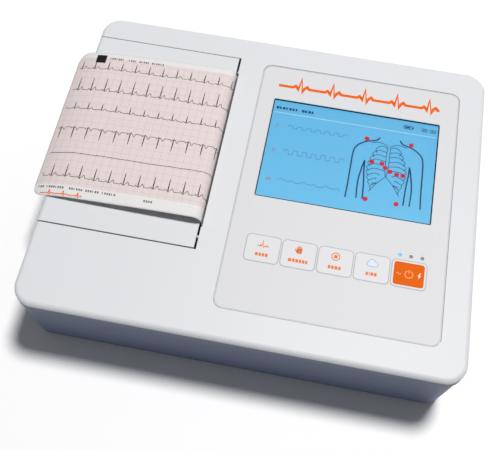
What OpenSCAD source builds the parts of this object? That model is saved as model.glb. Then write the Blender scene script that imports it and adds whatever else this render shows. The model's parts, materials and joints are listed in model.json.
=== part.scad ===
// Bench-top electrocardiograph (ECG machine) with a 112 mm thermal printer.
// Units are millimetres. +X points to the control panel's side, -Y to the user, +Z up.
// The origin is under the middle of the whole object, on the surface it stands on.

/* [Casing] */
// Width of the casing along X
body_w = 264; // [262:1:268]
// Depth of the casing along Y
body_d = 215; // [214:1:217]
// Height of the casing above the surface it stands on, feet included
body_h = 62; // [62:0.5:63]
// Plan radius of the casing's corners
corner_r = 13; // [12:0.5:14]
// Radius of the top edge
edge_r = 3; // [3:0.5:4]
// Wall thickness of both casings
wall = 2.5; // [2.5:0.1:2.7]
// Height of the line where the two casings meet
parting_z = 53; // [52.5:0.5:53]
// How far each side wall of the lower casing leans in towards its base
draft = 3; // [2:0.5:3.5]

/* [Feet] */
// Height of the rubber feet
foot_h = 2; // [1.5:0.5:2]
// Radius of the rubber feet
foot_r = 7; // [6:0.5:8]
// Distance of the feet from the middle along X
foot_x = 114; // [112:1:115]
// Distance of the feet from the middle along Y
foot_y = 76; // [70:1:78]

/* [Control panel] */
// Width of the panel overlay
panel_w = 132; // [131:0.5:133]
// Depth of the panel overlay
panel_d = 177; // [176:0.5:178]
// Middle of the panel along X, from the casing's middle
panel_x = 49.6; // [49:0.1:50]
// Corner radius of the panel overlay
panel_r = 6; // [5:0.5:7]
// Width of the display's visible area
screen_w = 108.4; // [107:0.1:109]
// Depth of the display's visible area
screen_d = 73.2; // [72:0.1:74]
// Middle of the display along Y
screen_y = 25.1; // [24.5:0.1:25.5]
// Width of a key cap
key_w = 20.3; // [20:0.1:20.5]
// Depth of a key cap
key_d = 17; // [16.5:0.1:17.2]
// Distance from one key to the next
key_pitch = 21.9; // [21.8:0.1:22]
// Travel of a key
key_travel = 0.5; // [0.4:0.1:0.6]

/* [Printer] */
// Right edge of the sliding paper lid, from the casing's middle
lid_right = -34.3; // [-34.5:0.1:-34.2]
// Front edge of the lid
lid_front = -54.1; // [-54.3:0.1:-54]
// Back edge of the lid
lid_back = 89.3; // [89.2:0.1:89.4]
// Width of the slot that the paper leaves through
slot_w = 2.1; // [2:0.1:2.4]
// Width of the same slot in front of the paper and behind it
side_slot_w = 1.4; // [1:0.1:1.5]
// Width of the paper
paper_w = 112; // [111.5:0.5:112]
// Middle of the paper along Y
paper_y = 18.5; // [18.4:0.1:18.6]
// How far the paper strip hangs past the casing's left side
overhang = 9; // [8:0.5:10]
// Radius of the rubber platen roller
platen_r = 7; // [6.9:0.1:7]
// Radius of a full paper roll
roll_r = 17; // [14:0.5:17]

/* [Gears] */
// Gear module
gear_m = 0.75; // [0.75]
// Teeth of the platen gear and of the idler
idler_teeth = 18; // [18]
// Teeth of the reduction gear
reduction_teeth = 30; // [30]
// Teeth of the motor pinion
pinion_teeth = 10; // [10]

/* [Hidden] */
$fn = 48;
eps = 0.01;

// Whole-object placing: half the paper's overhang keeps the origin under the middle
shift_x = overhang / 2;
left_x = -body_w / 2;
right_x = body_w / 2;
top_in = body_h - wall;
floor_in = foot_h + wall;
gap = 0.3;
step_in = 0.5;
base_chamfer = 2;

// Casing screws
boss_x = 118;
boss_y = body_d / 2 - 10;
boss_r = 4.5;
boss_split = 40;
screw_r = 1.5;
screw_head_r = 2.8;
small_head_r = 1.9;
lip_gap = 0.8;
lip_t = 1.3;
lip_h = 2;

// Panel stack, from the top down
overlay_z = body_h - 0.2;
recess_z = body_h - 1.2;
key_y = -47;
key_x0 = 6.1;
key_r = 2.5;
key_top = overlay_z + 0.1;
key_flange_z = top_in - 1.2;
led_y = -35.2;
led_x0 = 87.4;
led_pitch = 6.65;
led_r = 0.85;
screen_x = panel_x - 0.3;
lcd_z = 55.6;
keypad_z = 54;
board_t = 1.6;
switch_h = 1.5;
key_stem_z = keypad_z + board_t + switch_h + key_travel + gap;
board_hole_r = 1.6;
board_post_r = 3;
keypad_post_r = 2.5;
keypad_hole_r = 1.3;
standoff_r = 2.6;
standoff_bore_r = 1.25;
pilot_r = 1;
thread_r = 0.95;
fine_thread_r = 1.2;
pan_head_r = 2.2;
pan_head_h = 1.4;
keypad_head_r = 2;
keypad_head_h = 1.3;
film_lift = 0.05;
film_gap = 0.25;
keypad_w = 114;
keypad_d = 32;
keypad_y = -46;

// Printer
platen_x = lid_right - 6.4;
platen_z = 51.5;
paper_t = 0.3;
paper_x = platen_x + platen_r + 0.1;
lid_gap = 0.5;
front_gap = 0.9;
shaft_r = 2;
bush_r = 3.2;
flange_t = 1.5;
flange_z = parting_z + 0.6;
rear_flange_y = lid_back - 4.9;
front_flange_y = lid_front + 3.4;
arm_t = 3;
arm_r = 5.2;
rib_h = 1.6;
rib_z = flange_z + 0.6;
stiffener_t = 1.2;
rail_gap = 0.3;
rail_w = 3;
rail_t = 1;
gear_y = paper_y + paper_w / 2 + 2.5;
gear_t = 3.5;
idler_x = platen_x + gear_m * idler_teeth;
reduction_step = gear_m * (idler_teeth + reduction_teeth) / 2;
reduction_dir = -35;
reduction_x = idler_x + reduction_step * cos(reduction_dir);
reduction_z = platen_z + reduction_step * sin(reduction_dir);
pinion_step = gear_m * (reduction_teeth + pinion_teeth) / 2;
pinion_dir = -30;
pinion_x = reduction_x + pinion_step * cos(pinion_dir);
pinion_z = reduction_z + pinion_step * sin(pinion_dir);
post_r = 1.5;
fit = 0.05;
cheek_y = gear_y + 4.5;
cheek_t = 1.5;
front_cheek_y = paper_y - paper_w / 2 - 6;
frame_foot_t = 1.5;
head_x = paper_x + paper_t + 0.3;
head_back = head_x + 6;
pivot_x = head_x + 3.6;
pivot_z = 41;
frame_web_x = head_back + 5.5;
roll_x = -88;
roll_z = 24.5;
core_r = 7;
spindle_r = 4;
tray_r = roll_r + 0.9;
tray_t = 1.8;
tray_top = 43;
tray_front = paper_y - paper_w / 2 - 3;
tray_back = paper_y + paper_w / 2 + 2.5;
motor_r = 12.5;
motor_len = 15;
motor_boss_r = 4.5;
motor_shaft_r = 1;

// Electronics
main_z = 30;
main_x = 55;
main_y = -12;
main_w = 134;
main_d = 100;
ecg_z = 41;
ecg_x = 91;
ecg_y = -10;
ecg_w = 58;
ecg_d = 46;
power_z = 9;
power_x = 62;
power_y = 76;
power_w = 98;
power_d = 46;
inlet_x = 95;
inlet_z = 24;
inlet_y = body_d / 2 - 5;
port_x = 129.6;
lan_y = -46;
usb_y = 20;
dsub_z = 44;
battery_x = 52;
battery_y = -66;
battery_w = 80;
battery_d = 44;
battery_h = 20;
speaker_x = -88;
speaker_y = -78;
speaker_r = 17;
bay_clear = 0.5;
bay_t = 2;
bay_h = 12;
door_w = battery_w + 20;
door_d = battery_d + 4;
door_t = 1.7;
door_r = 3;
door_post_r = 3.2;

main_corners = [for (sx = [-1, 1]) for (sy = [-1, 1]) [main_x + sx * 62, main_y + sy * 46]];
ecg_corners = [for (sx = [-1, 1]) for (sy = [-1, 1]) [ecg_x + sx * 24, ecg_y + sy * 19.5]];
power_corners = [for (sx = [-1, 1]) for (sy = [-1, 1]) [power_x + sx * 45, power_y + sy * 19]];
casing_corners = [for (sx = [-1, 1]) for (sy = [-1, 1]) [sx * boss_x, sy * boss_y]];
keypad_corners = [for (sx = [-1, 1]) for (sy = [-1, 1]) [panel_x + sx * 55.5, keypad_y + sy * 13]];
door_screws = [for (s = [-1, 1]) [battery_x + s * (battery_w / 2 + 5), battery_y]];

// Points of a gear with flat-sided teeth, one tooth centred on the angle phase
function gear_points(teeth, phase) =
  let (r = gear_m * teeth / 2, p = 360 / teeth)
  [for (i = [0 : teeth - 1])
    for (k = [[-0.34, -1.15], [-0.11, 0.95], [0.11, 0.95], [0.34, -1.15]])
      let (a = phase + p * (i + k[0]), q = r + gear_m * k[1])
      [q * cos(a), q * sin(a)]];

// The paper's line from inside the slot, over the lid and past its left edge.
// Each entry is a distance along X from the slot and a height over the lid.
strip_top = body_h + 6.2;
strip_bend = 5.5;
strip_end_x = left_x - overhang;
function strip_arc(steps) =
  [for (i = [0 : steps]) let (a = 90 * i / steps)
    [paper_x - strip_bend * (1 - cos(a)), strip_top - strip_bend * (1 - sin(a))]];
strip_run_x = paper_x - strip_bend;
strip_run = strip_run_x - strip_end_x;
strip_slope = 4;
strip_curl = 5.5;
// Fall of the free run: a gentle slope over the lid, then a quick curl past the lid's edge
function strip_drop(u) = strip_slope * pow(u, 1.6) + strip_curl * pow(u, 10);
function strip_free(steps) =
  [for (i = [1 : steps]) let (u = i / steps)
    [strip_run_x - strip_run * u, strip_top - strip_drop(u)]];
function strip_line() = concat([[paper_x, 46]], strip_arc(8), strip_free(16));
// The same line moved sideways by the paper's thickness
function strip_side(line, t) =
  [for (i = [0 : len(line) - 1])
    let (a = line[max(i - 1, 0)], b = line[min(i + 1, len(line) - 1)])
    let (d = b - a, n = norm(d))
    line[i] + t * [d[1], -d[0]] / n];

function reversed(list) = [for (i = [len(list) - 1 : -1 : 0]) list[i]];

// Points of a helix along X for a compression spring
spring_r = 2.4;
spring_wire = 0.35;
spring_turns = 4;
spring_sides = 6;
spring_steps = 12;
function spring_centre(i, length) =
  let (a = 360 * i / spring_steps, n = spring_turns * spring_steps)
  [spring_wire + (length - 2 * spring_wire) * i / n, spring_r * cos(a), spring_r * sin(a)];
function spring_ring(i, length) =
  let (c = spring_centre(i, length), a = 360 * i / spring_steps)
  [for (k = [0 : spring_sides - 1]) let (b = 360 * k / spring_sides)
    c + spring_wire * [sin(b), cos(b) * cos(a), cos(b) * sin(a)]];

module placed() {
  translate([shift_x, 0, 0]) children();
}

module box_at(x, y, z, w, d, h) {
  translate([x - w / 2, y - d / 2, z]) cube([w, d, h]);
}

// A plate with round corners, centred on x and y, from z upwards
module round_plate(x, y, z, w, d, h, r) {
  translate([x, y, z]) linear_extrude(h) round_outline(w, d, r);
}

module round_outline(w, d, r) {
  square([w - 2 * r, d], center = true);
  square([w, d - 2 * r], center = true);
  for (sx = [-1, 1])
    for (sy = [-1, 1])
      translate([sx * (w / 2 - r), sy * (d / 2 - r)]) circle(r);
}

// Sweeps a profile, drawn outwards from the corner centres, round the casing's plan
module sweep_round(w, d, r) {
  for (side = [0, 1]) rotate([0, 0, 180 * side]) {
    translate([w / 2 - r, d / 2 - r, 0])
      rotate([90, 0, 0]) linear_extrude(d - 2 * r) children();
    rotate([0, 0, 90]) translate([d / 2 - r, w / 2 - r, 0])
      rotate([90, 0, 0]) linear_extrude(w - 2 * r) children();
    translate([w / 2 - r, d / 2 - r, 0]) rotate_extrude(angle = 90) children();
    translate([w / 2 - r, -(d / 2 - r), 0])
      rotate([0, 0, -90]) rotate_extrude(angle = 90) children();
  }
}

// A block profile from z0 to z1, x1 wide, with its upper outer corner rounded
module rounded_profile(x1, z0, z1, r) {
  translate([0, z0]) square([x1, z1 - z0 - r]);
  translate([0, z0]) square([x1 - r, z1 - z0]);
  translate([x1 - r, z1 - r]) quarter_disc(r);
}

module quarter_disc(r) {
  intersection() {
    circle(r);
    square(r);
  }
}

// A cylinder along Y from y0 to y1 through x and z
module rod_y(x, z, y0, y1, r) {
  translate([x, y1, z]) rotate([90, 0, 0]) cylinder(r = r, h = y1 - y0);
}

module gear_y_at(x, z, teeth, phase, bore) {
  translate([x, gear_y + gear_t, z]) rotate([90, 0, 0]) linear_extrude(gear_t) difference() {
    polygon(gear_points(teeth, phase));
    circle(bore);
  }
}

module top_rim() {
  difference() {
    rounded_profile(corner_r, parting_z, body_h, edge_r);
    translate([-1, 0]) rounded_profile(corner_r - wall + 1, parting_z - 1, top_in, edge_r - wall);
  }
}

module top_lip() {
  x0 = corner_r - wall - lip_gap - lip_t;
  translate([x0, parting_z - lip_h]) square([lip_t, top_in - parting_z + lip_h - 1]);
}

module top_casing() color("white") placed() difference() {
  union() {
    sweep_round(body_w, body_d, corner_r) top_rim();
    box_at(0, 0, top_in, body_w - 2 * corner_r, body_d - 2 * corner_r, wall);
    sweep_round(body_w, body_d, corner_r) top_lip();
    for (p = casing_corners)
      translate([p[0], p[1], boss_split]) cylinder(r = boss_r, h = top_in - boss_split + 1);
    for (p = keypad_corners) translate([p[0], p[1], keypad_z + board_t]) cylinder(r = keypad_post_r, h = 5);
  }
  lid_opening();
  panel_recess();
  for (p = casing_corners) translate([p[0], p[1], boss_split - 1]) cylinder(r = screw_r + fit, h = 14);
  for (p = keypad_corners) translate([p[0], p[1], keypad_z]) cylinder(r = pilot_r, h = 4.5);
}

module lid_opening() {
  x1 = lid_right + side_slot_w;
  y0 = lid_front - front_gap;
  y1 = lid_back + lid_gap;
  z0 = parting_z - 5;
  h = body_h - z0 + 5;
  translate([left_x - 1, y0, z0]) cube([x1 - left_x + 1, y1 - y0, h]);
  box_at(lid_right + slot_w / 2, paper_y, z0, slot_w, tear_teeth * tear_pitch + 2 * gap, h);
}

module key_hole(x, z, h) {
  round_plate(x, key_y, z, key_w + 2 * gap, key_d + 2 * gap, h, key_r + gap);
}

module panel_recess() {
  round_plate(panel_x, 0, recess_z, panel_w, panel_d, 5, panel_r);
  round_plate(screen_x, screen_y, top_in - 1, screen_w + 2.6, screen_d + 2.6, 5, 1.5);
  for (i = [0 : 4]) key_hole(key_x0 + i * key_pitch, top_in - 1, 5);
  for (i = [0 : 2]) translate([led_x0 + i * led_pitch, led_y, top_in - 1]) cylinder(r = led_r + 0.25, h = 5);
}

module bottom_wall() {
  x1 = corner_r - step_in;
  z1 = parting_z - 0.2;
  x0 = corner_r - draft;
  polygon([[0, foot_h], [x0 - base_chamfer, foot_h], [x0, foot_h + base_chamfer], [x1, z1],
    [x1 - wall, z1], [x0 - wall, floor_in], [0, floor_in]]);
}

module bottom_casing() color("slategray") placed() difference() {
  union() {
    sweep_round(body_w, body_d, corner_r) bottom_wall();
    box_at(0, 0, foot_h, body_w - 2 * corner_r, body_d - 2 * corner_r, wall);
    for (p = casing_corners)
      translate([p[0], p[1], foot_h + 1]) cylinder(r = boss_r, h = boss_split - gap - foot_h - 1);
    for (p = main_corners) board_post(p, main_z);
    for (p = power_corners) board_post(p, power_z);
    battery_bay();
    speaker_ring();
    finger_cup();
  }
  for (p = casing_corners) {
    translate([p[0], p[1], foot_h - 1]) cylinder(r = screw_head_r + 0.4, h = 5);
    translate([p[0], p[1], foot_h]) cylinder(r = screw_r + 0.3, h = boss_split);
  }
  for (p = main_corners) translate([p[0], p[1], main_z - 8]) cylinder(r = pilot_r, h = 10);
  for (p = power_corners) translate([p[0], p[1], floor_in + 0.5]) cylinder(r = pilot_r, h = 10);
  battery_opening();
  bottom_vents();
  side_openings();
  finger_pocket();
}

module board_post(p, z) {
  translate([p[0], p[1], floor_in - 1]) cylinder(r = board_post_r, h = z - floor_in + 1);
}

module battery_bay() {
  clear = 2 * bay_clear;
  difference() {
    box_at(battery_x, battery_y, floor_in - 1, battery_w + clear + 2 * bay_t, battery_d + clear + 2 * bay_t,
      bay_h + 1);
    box_at(battery_x, battery_y, floor_in - 2, battery_w + clear, battery_d + clear, bay_h + 3);
  }
  for (p = door_screws) translate([p[0], p[1], floor_in - 1]) cylinder(r = door_post_r, h = 8);
}

module battery_opening() {
  clear = 2 * bay_clear;
  seat_h = door_t + 1.1;
  box_at(battery_x, battery_y, foot_h - 1, battery_w + clear, battery_d + clear, wall + 2);
  round_plate(battery_x, battery_y, foot_h - 1, door_w + 2 * gap, door_d + 2 * gap, seat_h, door_r + gap);
  for (p = door_screws) translate([p[0], p[1], foot_h]) cylinder(r = pilot_r, h = 8);
}

module speaker_ring() {
  difference() {
    translate([speaker_x, speaker_y, floor_in - 1]) cylinder(r = speaker_r + 2, h = 5);
    translate([speaker_x, speaker_y, floor_in - 2]) cylinder(r = speaker_r + 0.2, h = 7);
  }
}

module bottom_vents() {
  for (i = [-3 : 3]) box_at(speaker_x + i * 4, speaker_y, foot_h - 1, 2, 22 - 2 * abs(i), 4);
  for (i = [-4 : 4]) box_at(power_x + i * 7, power_y, foot_h - 1, 2.5, 24, 4);
}

module side_openings() {
  box_at(right_x, lan_y, main_z + board_t - 0.3, 12, 17, 14.2);
  box_at(right_x, usb_y, main_z + board_t - 0.3, 12, 15, 7.8);
  box_at(right_x, ecg_y, dsub_z - 6.6, 12, 40, 13.2);
  box_at(inlet_x, body_d / 2, inlet_z - 12.3, 32.6, 14, 24.6);
}

cup_y = paper_y;
cup_w = 52;
cup_x = left_x + 9;

module finger_cup() {
  translate([left_x + 2, cup_y - cup_w / 2 - 2, 42]) cube([cup_x - left_x, cup_w + 4, parting_z - 42.2]);
}

module finger_pocket() {
  translate([left_x - 3, cup_y - cup_w / 2, 44]) cube([cup_x - left_x + 3, cup_w, 12]);
}

module control_panel() color("whitesmoke") placed() difference() {
  z = recess_z + film_lift;
  w = panel_w - 2 * film_gap;
  d = panel_d - 2 * film_gap;
  round_plate(panel_x, 0, z, w, d, overlay_z - z, panel_r - film_gap);
  round_plate(screen_x, screen_y, recess_z - 1, screen_w + 1, screen_d + 1, 4, 1.2);
  for (i = [0 : 4]) key_hole(key_x0 + i * key_pitch, recess_z - 1, 4);
  for (i = [0 : 2]) translate([led_x0 + i * led_pitch, led_y, recess_z - 1]) cylinder(r = led_r + 0.2, h = 4);
}

module display_window() color("lightblue") placed() {
  round_plate(screen_x, screen_y, recess_z + film_lift, screen_w + 0.8, screen_d + 0.8, 0.8, 1.1);
}

module lcd_panel() color("steelblue") placed() {
  box_at(screen_x, screen_y, lcd_z, screen_w + 5, screen_d + 7, 3);
}

module lcd_frame() color("silver") placed() difference() {
  box_at(screen_x, screen_y, lcd_z - 1, screen_w + 10, screen_d + 12, 4.6);
  box_at(screen_x, screen_y, lcd_z - eps, screen_w + 5.2, screen_d + 7.2, 3.1);
  box_at(screen_x, screen_y, lcd_z, screen_w + 1.6, screen_d + 1.6, 6);
  box_at(screen_x, screen_y, lcd_z - 2, screen_w - 10, screen_d - 10, 6);
}

module lcd_board() color("green") placed() {
  box_at(screen_x, screen_y, lcd_z - 3.6, screen_w, screen_d, board_t);
  for (x = [-30, 0, 28]) box_at(screen_x + x, screen_y + 8, lcd_z - 5.1, 14, 12, 1.5);
  box_at(screen_x - 30, screen_y - 28, lcd_z - 5.6, 24, 5, 2);
}

ribbon_z0 = main_z + board_t;
ribbon_z1 = lcd_z - 5.6;
module lcd_ribbon() color("ivory") placed() {
  x = screen_x - 30;
  y = screen_y - 28;
  translate([x - 10, y - 1, ribbon_z0]) cube([20, 0.4, ribbon_z1 - ribbon_z0]);
}

module keypad_board() color("green") placed() difference() {
  box_at(panel_x, keypad_y, keypad_z, keypad_w, keypad_d, board_t);
  for (p = keypad_corners) translate([p[0], p[1], keypad_z - 1]) cylinder(r = keypad_hole_r, h = 4);
}

module key_switches() color("dimgray") placed() {
  z = keypad_z + board_t;
  well_h = 0.9;
  plunger_r = 1.5;
  for (i = [0 : 4]) {
    x = key_x0 + i * key_pitch;
    difference() {
      box_at(x, key_y, z, 6, 6, 1.2);
      translate([x, key_y, z + well_h]) cylinder(r = plunger_r + 0.1, h = 1);
    }
    translate([x, key_y, z + well_h]) cylinder(r = plunger_r, h = switch_h - well_h);
  }
}

module key_cap(i) placed() {
  x = key_x0 + i * key_pitch;
  flange_h = 0.9;
  cap_z = key_flange_z + flange_h;
  round_plate(x, key_y, cap_z, key_w, key_d, key_top - cap_z, key_r);
  round_plate(x, key_y, key_flange_z, key_w - 1, key_d + 2, flange_h, key_r);
  translate([x, key_y, key_stem_z]) cylinder(r = 2, h = key_flange_z - key_stem_z + 0.5);
}

module key_auto() color("white") key_cap(0);
module key_manual() color("white") key_cap(1);
module key_stop() color("white") key_cap(2);
module key_link() color("white") key_cap(3);
module key_power() color("orangered") key_cap(4);

module status_led(i) placed() {
  translate([led_x0 + i * led_pitch, led_y, keypad_z + board_t]) {
    cylinder(r = led_r, h = overlay_z - keypad_z - board_t - led_r * 0.3);
    cylinder(r = led_r + 0.35, h = 1);
  }
}

module led_mains() color("deepskyblue") status_led(0);
module led_battery() color("gray") status_led(1);
module led_link() color("gray") status_led(2);

module lid_profile() {
  difference() {
    union() {
      translate([left_x + edge_r, body_h - edge_r]) mirror([1, 0]) quarter_disc(edge_r);
      translate([left_x, parting_z + lid_gap]) square([edge_r, body_h - edge_r - parting_z - lid_gap]);
      translate([left_x + edge_r, parting_z + lid_gap])
        square([lid_right - left_x - edge_r, body_h - parting_z - lid_gap]);
    }
    translate([left_x + edge_r, body_h - edge_r]) mirror([1, 0]) quarter_disc(edge_r - wall);
    translate([left_x + wall, parting_z - 1]) square([edge_r, body_h - edge_r - parting_z + 1]);
    translate([left_x + edge_r, parting_z - 1]) square([lid_right - left_x, top_in - parting_z + 1]);
  }
}

module lid_cover() color("white") placed() difference() {
  union() {
    translate([0, lid_back, 0]) rotate([90, 0, 0]) linear_extrude(lid_back - lid_front) lid_profile();
    lid_flange(rear_flange_y, 1);
    lid_flange(front_flange_y + flange_t, -1);
    lid_arm(rear_flange_y - 1.5);
    lid_arm(front_flange_y);
    for (y = [-46, -14, 18, 46])
      translate([left_x + 12, paper_y + y, top_in - 1]) cube([70, stiffener_t, stiffener_t]);
  }
  for (y = [rear_flange_y - 1.5, front_flange_y]) rod_y(platen_x, platen_z, y - 1, y + arm_t + 1, bush_r);
}

// Side flange of the lid with the rib that runs in a guide rail, on the side dir of y
module lid_flange(y, dir) {
  x0 = left_x + wall + 0.5;
  length = lid_right - 1.2 - x0;
  y0 = dir > 0 ? y : y - flange_t;
  translate([x0, y0, flange_z]) cube([length, flange_t, top_in - flange_z + 0.5]);
  rib_y = dir > 0 ? y + flange_t - eps : y - 2 * flange_t + eps;
  translate([x0, rib_y, rib_z]) cube([length, flange_t, rib_h]);
}

module lid_arm(y) {
  translate([platen_x - arm_r, y, platen_z]) cube([2 * arm_r, arm_t, top_in - platen_z + 0.5]);
  rod_y(platen_x, platen_z, y, y + arm_t, arm_r);
}

module lid_bushes() color("burlywood") placed() {
  for (y = [rear_flange_y - 1.5, front_flange_y]) difference() {
    rod_y(platen_x, platen_z, y, y + arm_t, bush_r - 0.01);
    rod_y(platen_x, platen_z, y - 1, y + arm_t + 1, shaft_r + fit);
  }
}

module platen_shaft() color("silver") placed() {
  rod_y(platen_x, platen_z, front_flange_y, rear_flange_y + 1.5, shaft_r);
}

module platen_roller() color("dimgray") placed() difference() {
  rod_y(platen_x, platen_z, paper_y - paper_w / 2 - 1.5, paper_y + paper_w / 2 + 1.5, platen_r);
  rod_y(platen_x, platen_z, -body_d / 2, body_d / 2, shaft_r + 0.01);
}

module platen_gear() color("ivory") placed() {
  gear_y_at(platen_x, platen_z, idler_teeth, 0, shaft_r + 0.01);
}

module paper_strip() color("mistyrose") placed() {
  line = strip_line();
  y1 = paper_y + paper_w / 2;
  translate([0, y1, 0]) rotate([90, 0, 0]) linear_extrude(paper_w)
    polygon(concat(line, reversed(strip_side(line, paper_t))));
}

// A C-shaped rail that holds the lid's rib, opening towards dir
module guide_rail(y, dir) {
  x0 = left_x + wall + 1;
  length = lid_right - 2 - x0;
  z0 = rib_z - rail_gap - rail_t;
  h = rib_h + 2 * rail_gap + 2 * rail_t;
  y0 = dir > 0 ? y : y - rail_w;
  slot_y = dir > 0 ? y - 1 : y - 1.5;
  difference() {
    translate([x0, y0, z0]) cube([length, rail_w, h]);
    translate([x0 - 1, slot_y, z0 + rail_t]) cube([length + 2, 2.5, h - 2 * rail_t]);
  }
}

module guide_rails() color("silver") placed() {
  guide_rail(rear_flange_y + flange_t + rail_gap, 1);
  guide_rail(front_flange_y - rail_gap, -1);
}

module tray_outline(r, top) {
  translate([roll_x, roll_z]) circle(r);
  translate([roll_x - r, roll_z]) square([2 * r, top - roll_z]);
}

module paper_tray() color("gainsboro") placed() difference() {
  length = tray_back - tray_front + 2 * tray_t;
  brim_t = 2;
  union() {
    translate([0, tray_back + tray_t, 0]) rotate([90, 0, 0])
      linear_extrude(length) tray_outline(tray_r + tray_t, tray_top);
    translate([left_x + 12, tray_front - tray_t, tray_top - brim_t]) cube([72, length, brim_t]);
  }
  translate([0, tray_back, 0]) rotate([90, 0, 0]) linear_extrude(tray_back - tray_front)
    tray_outline(tray_r, tray_top + 5);
  notch_r = spindle_r + 0.2;
  for (y = [tray_front - 5, tray_back - 5]) {
    rod_y(roll_x, roll_z, y, y + 10, notch_r);
    translate([roll_x - notch_r, y, roll_z]) cube([2 * notch_r, 10, 30]);
  }
}

module paper_roll() color("mistyrose") placed() difference() {
  rod_y(roll_x, roll_z, paper_y - paper_w / 2, paper_y + paper_w / 2, roll_r);
  rod_y(roll_x, roll_z, -body_d / 2, body_d / 2, core_r);
}

module roll_core() color("tan") placed() difference() {
  rod_y(roll_x, roll_z, paper_y - paper_w / 2, paper_y + paper_w / 2, core_r);
  rod_y(roll_x, roll_z, -body_d / 2, body_d / 2, core_r - 1.5);
}

module roll_spindle() color("dimgray") placed() {
  rod_y(roll_x, roll_z, tray_front - tray_t, tray_back + tray_t, spindle_r);
}

module print_head() color("darkgray") placed() {
  plate_t = 1;
  bead_r = 0.5;
  translate([head_x, paper_y - paper_w / 2 - 2, 43.5]) cube([plate_t, paper_w + 4, 13]);
  rod_y(head_x + 0.35, platen_z, paper_y - paper_w / 2, paper_y + paper_w / 2, bead_r);
}

module head_heatsink() color("silver") placed() difference() {
  translate([head_x + 1, paper_y - paper_w / 2, 38]) cube([5, paper_w, 18]);
  rod_y(pivot_x, pivot_z, -body_d / 2, body_d / 2, post_r + fit);
  fin_pitch = 4;
  for (i = [-13 : 13]) box_at(head_back, paper_y + i * fin_pitch, 46, 3, 1.6, 12);
}

module head_pivot_pin() color("silver") placed() {
  rod_y(pivot_x, pivot_z, front_cheek_y, cheek_y + cheek_t, post_r);
}

module coil_spring(length) {
  rings = spring_turns * spring_steps;
  points = [for (i = [0 : rings]) each spring_ring(i, length)];
  sides = [for (i = [0 : rings - 1]) for (k = [0 : spring_sides - 1])
    let (a = i * spring_sides + k, b = i * spring_sides + (k + 1) % spring_sides)
    [a, b, b + spring_sides, a + spring_sides]];
  start = [for (k = [spring_sides - 1 : -1 : 0]) k];
  finish = [for (k = [0 : spring_sides - 1]) rings * spring_sides + k];
  polyhedron(points, concat(sides, [start, finish]));
}

module head_springs() color("silver") placed() {
  for (s = [-1, 1])
    translate([head_back + 0.1, paper_y + s * 30, 50]) coil_spring(frame_web_x - head_back - 0.2);
}

tear_pitch = 2;
tear_teeth = round(paper_w / tear_pitch) + 2;
module tear_bar() color("dimgray") placed() {
  blade_t = 0.6;
  x0 = lid_right + slot_w - blade_t - 0.05;
  z0 = top_in - 2;
  root_z = z0 + 3;
  length = tear_teeth * tear_pitch;
  y0 = paper_y - length / 2;
  teeth = [for (i = [0 : tear_teeth - 1]) each [[i * tear_pitch, 0], [(i + 0.5) * tear_pitch, 1.2]]];
  base = [[length, 0], [length, -1], [0, -1]];
  translate([x0, y0, z0]) cube([blade_t, length, 3]);
  translate([x0, y0, root_z]) rotate([90, 0, 90]) linear_extrude(blade_t) polygon(concat(teeth, base));
  translate([x0, y0, z0]) cube([7, length, 0.8]);
}

module printer_frame() color("lightgray") placed() difference() {
  z0 = floor_in + 0.1;
  web_z = 12;
  x1 = frame_web_x + cheek_t;
  pin_r = post_r + 0.02;
  union() {
    translate([head_x - 2.2, front_cheek_y, z0]) cube([x1 - head_x + 2.2, cheek_t, 49]);
    translate([head_x - 1.6, cheek_y, z0]) cube([pinion_x + 14 - head_x, cheek_t, 51]);
    translate([frame_web_x, front_cheek_y, web_z]) cube([cheek_t, cheek_y - front_cheek_y + cheek_t, 14]);
    translate([frame_web_x, front_cheek_y, web_z]) cube([cheek_t, gear_y - 2 - front_cheek_y, 41]);
    translate([frame_web_x, front_cheek_y - 8, z0]) cube([12, cheek_t + 8, frame_foot_t]);
    translate([frame_web_x, cheek_y, z0]) cube([30, 10, frame_foot_t]);
  }
  rod_y(pivot_x, pivot_z, -body_d / 2, body_d / 2, pin_r);
  rod_y(pinion_x, pinion_z, cheek_y - 1, cheek_y + 3, motor_boss_r + 0.5);
  rod_y(idler_x, platen_z, cheek_y - 1, cheek_y + 3, pin_r);
  rod_y(reduction_x, reduction_z, cheek_y - 1, cheek_y + 3, pin_r);
}

module gear_posts() color("silver") placed() {
  for (p = [[idler_x, platen_z], [reduction_x, reduction_z]]) {
    rod_y(p[0], p[1], gear_y - 0.6, cheek_y + cheek_t, post_r);
    rod_y(p[0], p[1], gear_y - 1.4, gear_y - 0.3, post_r + 1);
  }
}

idler_phase = 180 + 180 / idler_teeth;
reduction_phase = reduction_dir + 180 + 180 / reduction_teeth
  + (reduction_dir - idler_phase) * idler_teeth / reduction_teeth;
pinion_phase = pinion_dir + 180 + 180 / pinion_teeth
  + (pinion_dir - reduction_phase) * reduction_teeth / pinion_teeth;

module idler_gear() color("ivory") placed() {
  gear_y_at(idler_x, platen_z, idler_teeth, idler_phase, post_r + fit);
}

module reduction_gear() color("ivory") placed() {
  gear_y_at(reduction_x, reduction_z, reduction_teeth, reduction_phase, post_r + fit);
}

module motor_pinion() color("goldenrod") placed() {
  gear_y_at(pinion_x, pinion_z, pinion_teeth, pinion_phase, motor_shaft_r + 0.01);
}

module motor_shaft() color("silver") placed() {
  rod_y(pinion_x, pinion_z, gear_y, cheek_y + cheek_t + motor_len - 1, motor_shaft_r);
}

module feed_motor() color("dimgray") placed() difference() {
  union() {
    rod_y(pinion_x, pinion_z, cheek_y + cheek_t, cheek_y + cheek_t + motor_len, motor_r);
    rod_y(pinion_x, pinion_z, cheek_y + 0.2, cheek_y + cheek_t, motor_boss_r);
  }
  rod_y(pinion_x, pinion_z, cheek_y - 1, cheek_y + cheek_t + motor_len - 1, motor_shaft_r + fit);
}

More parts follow.
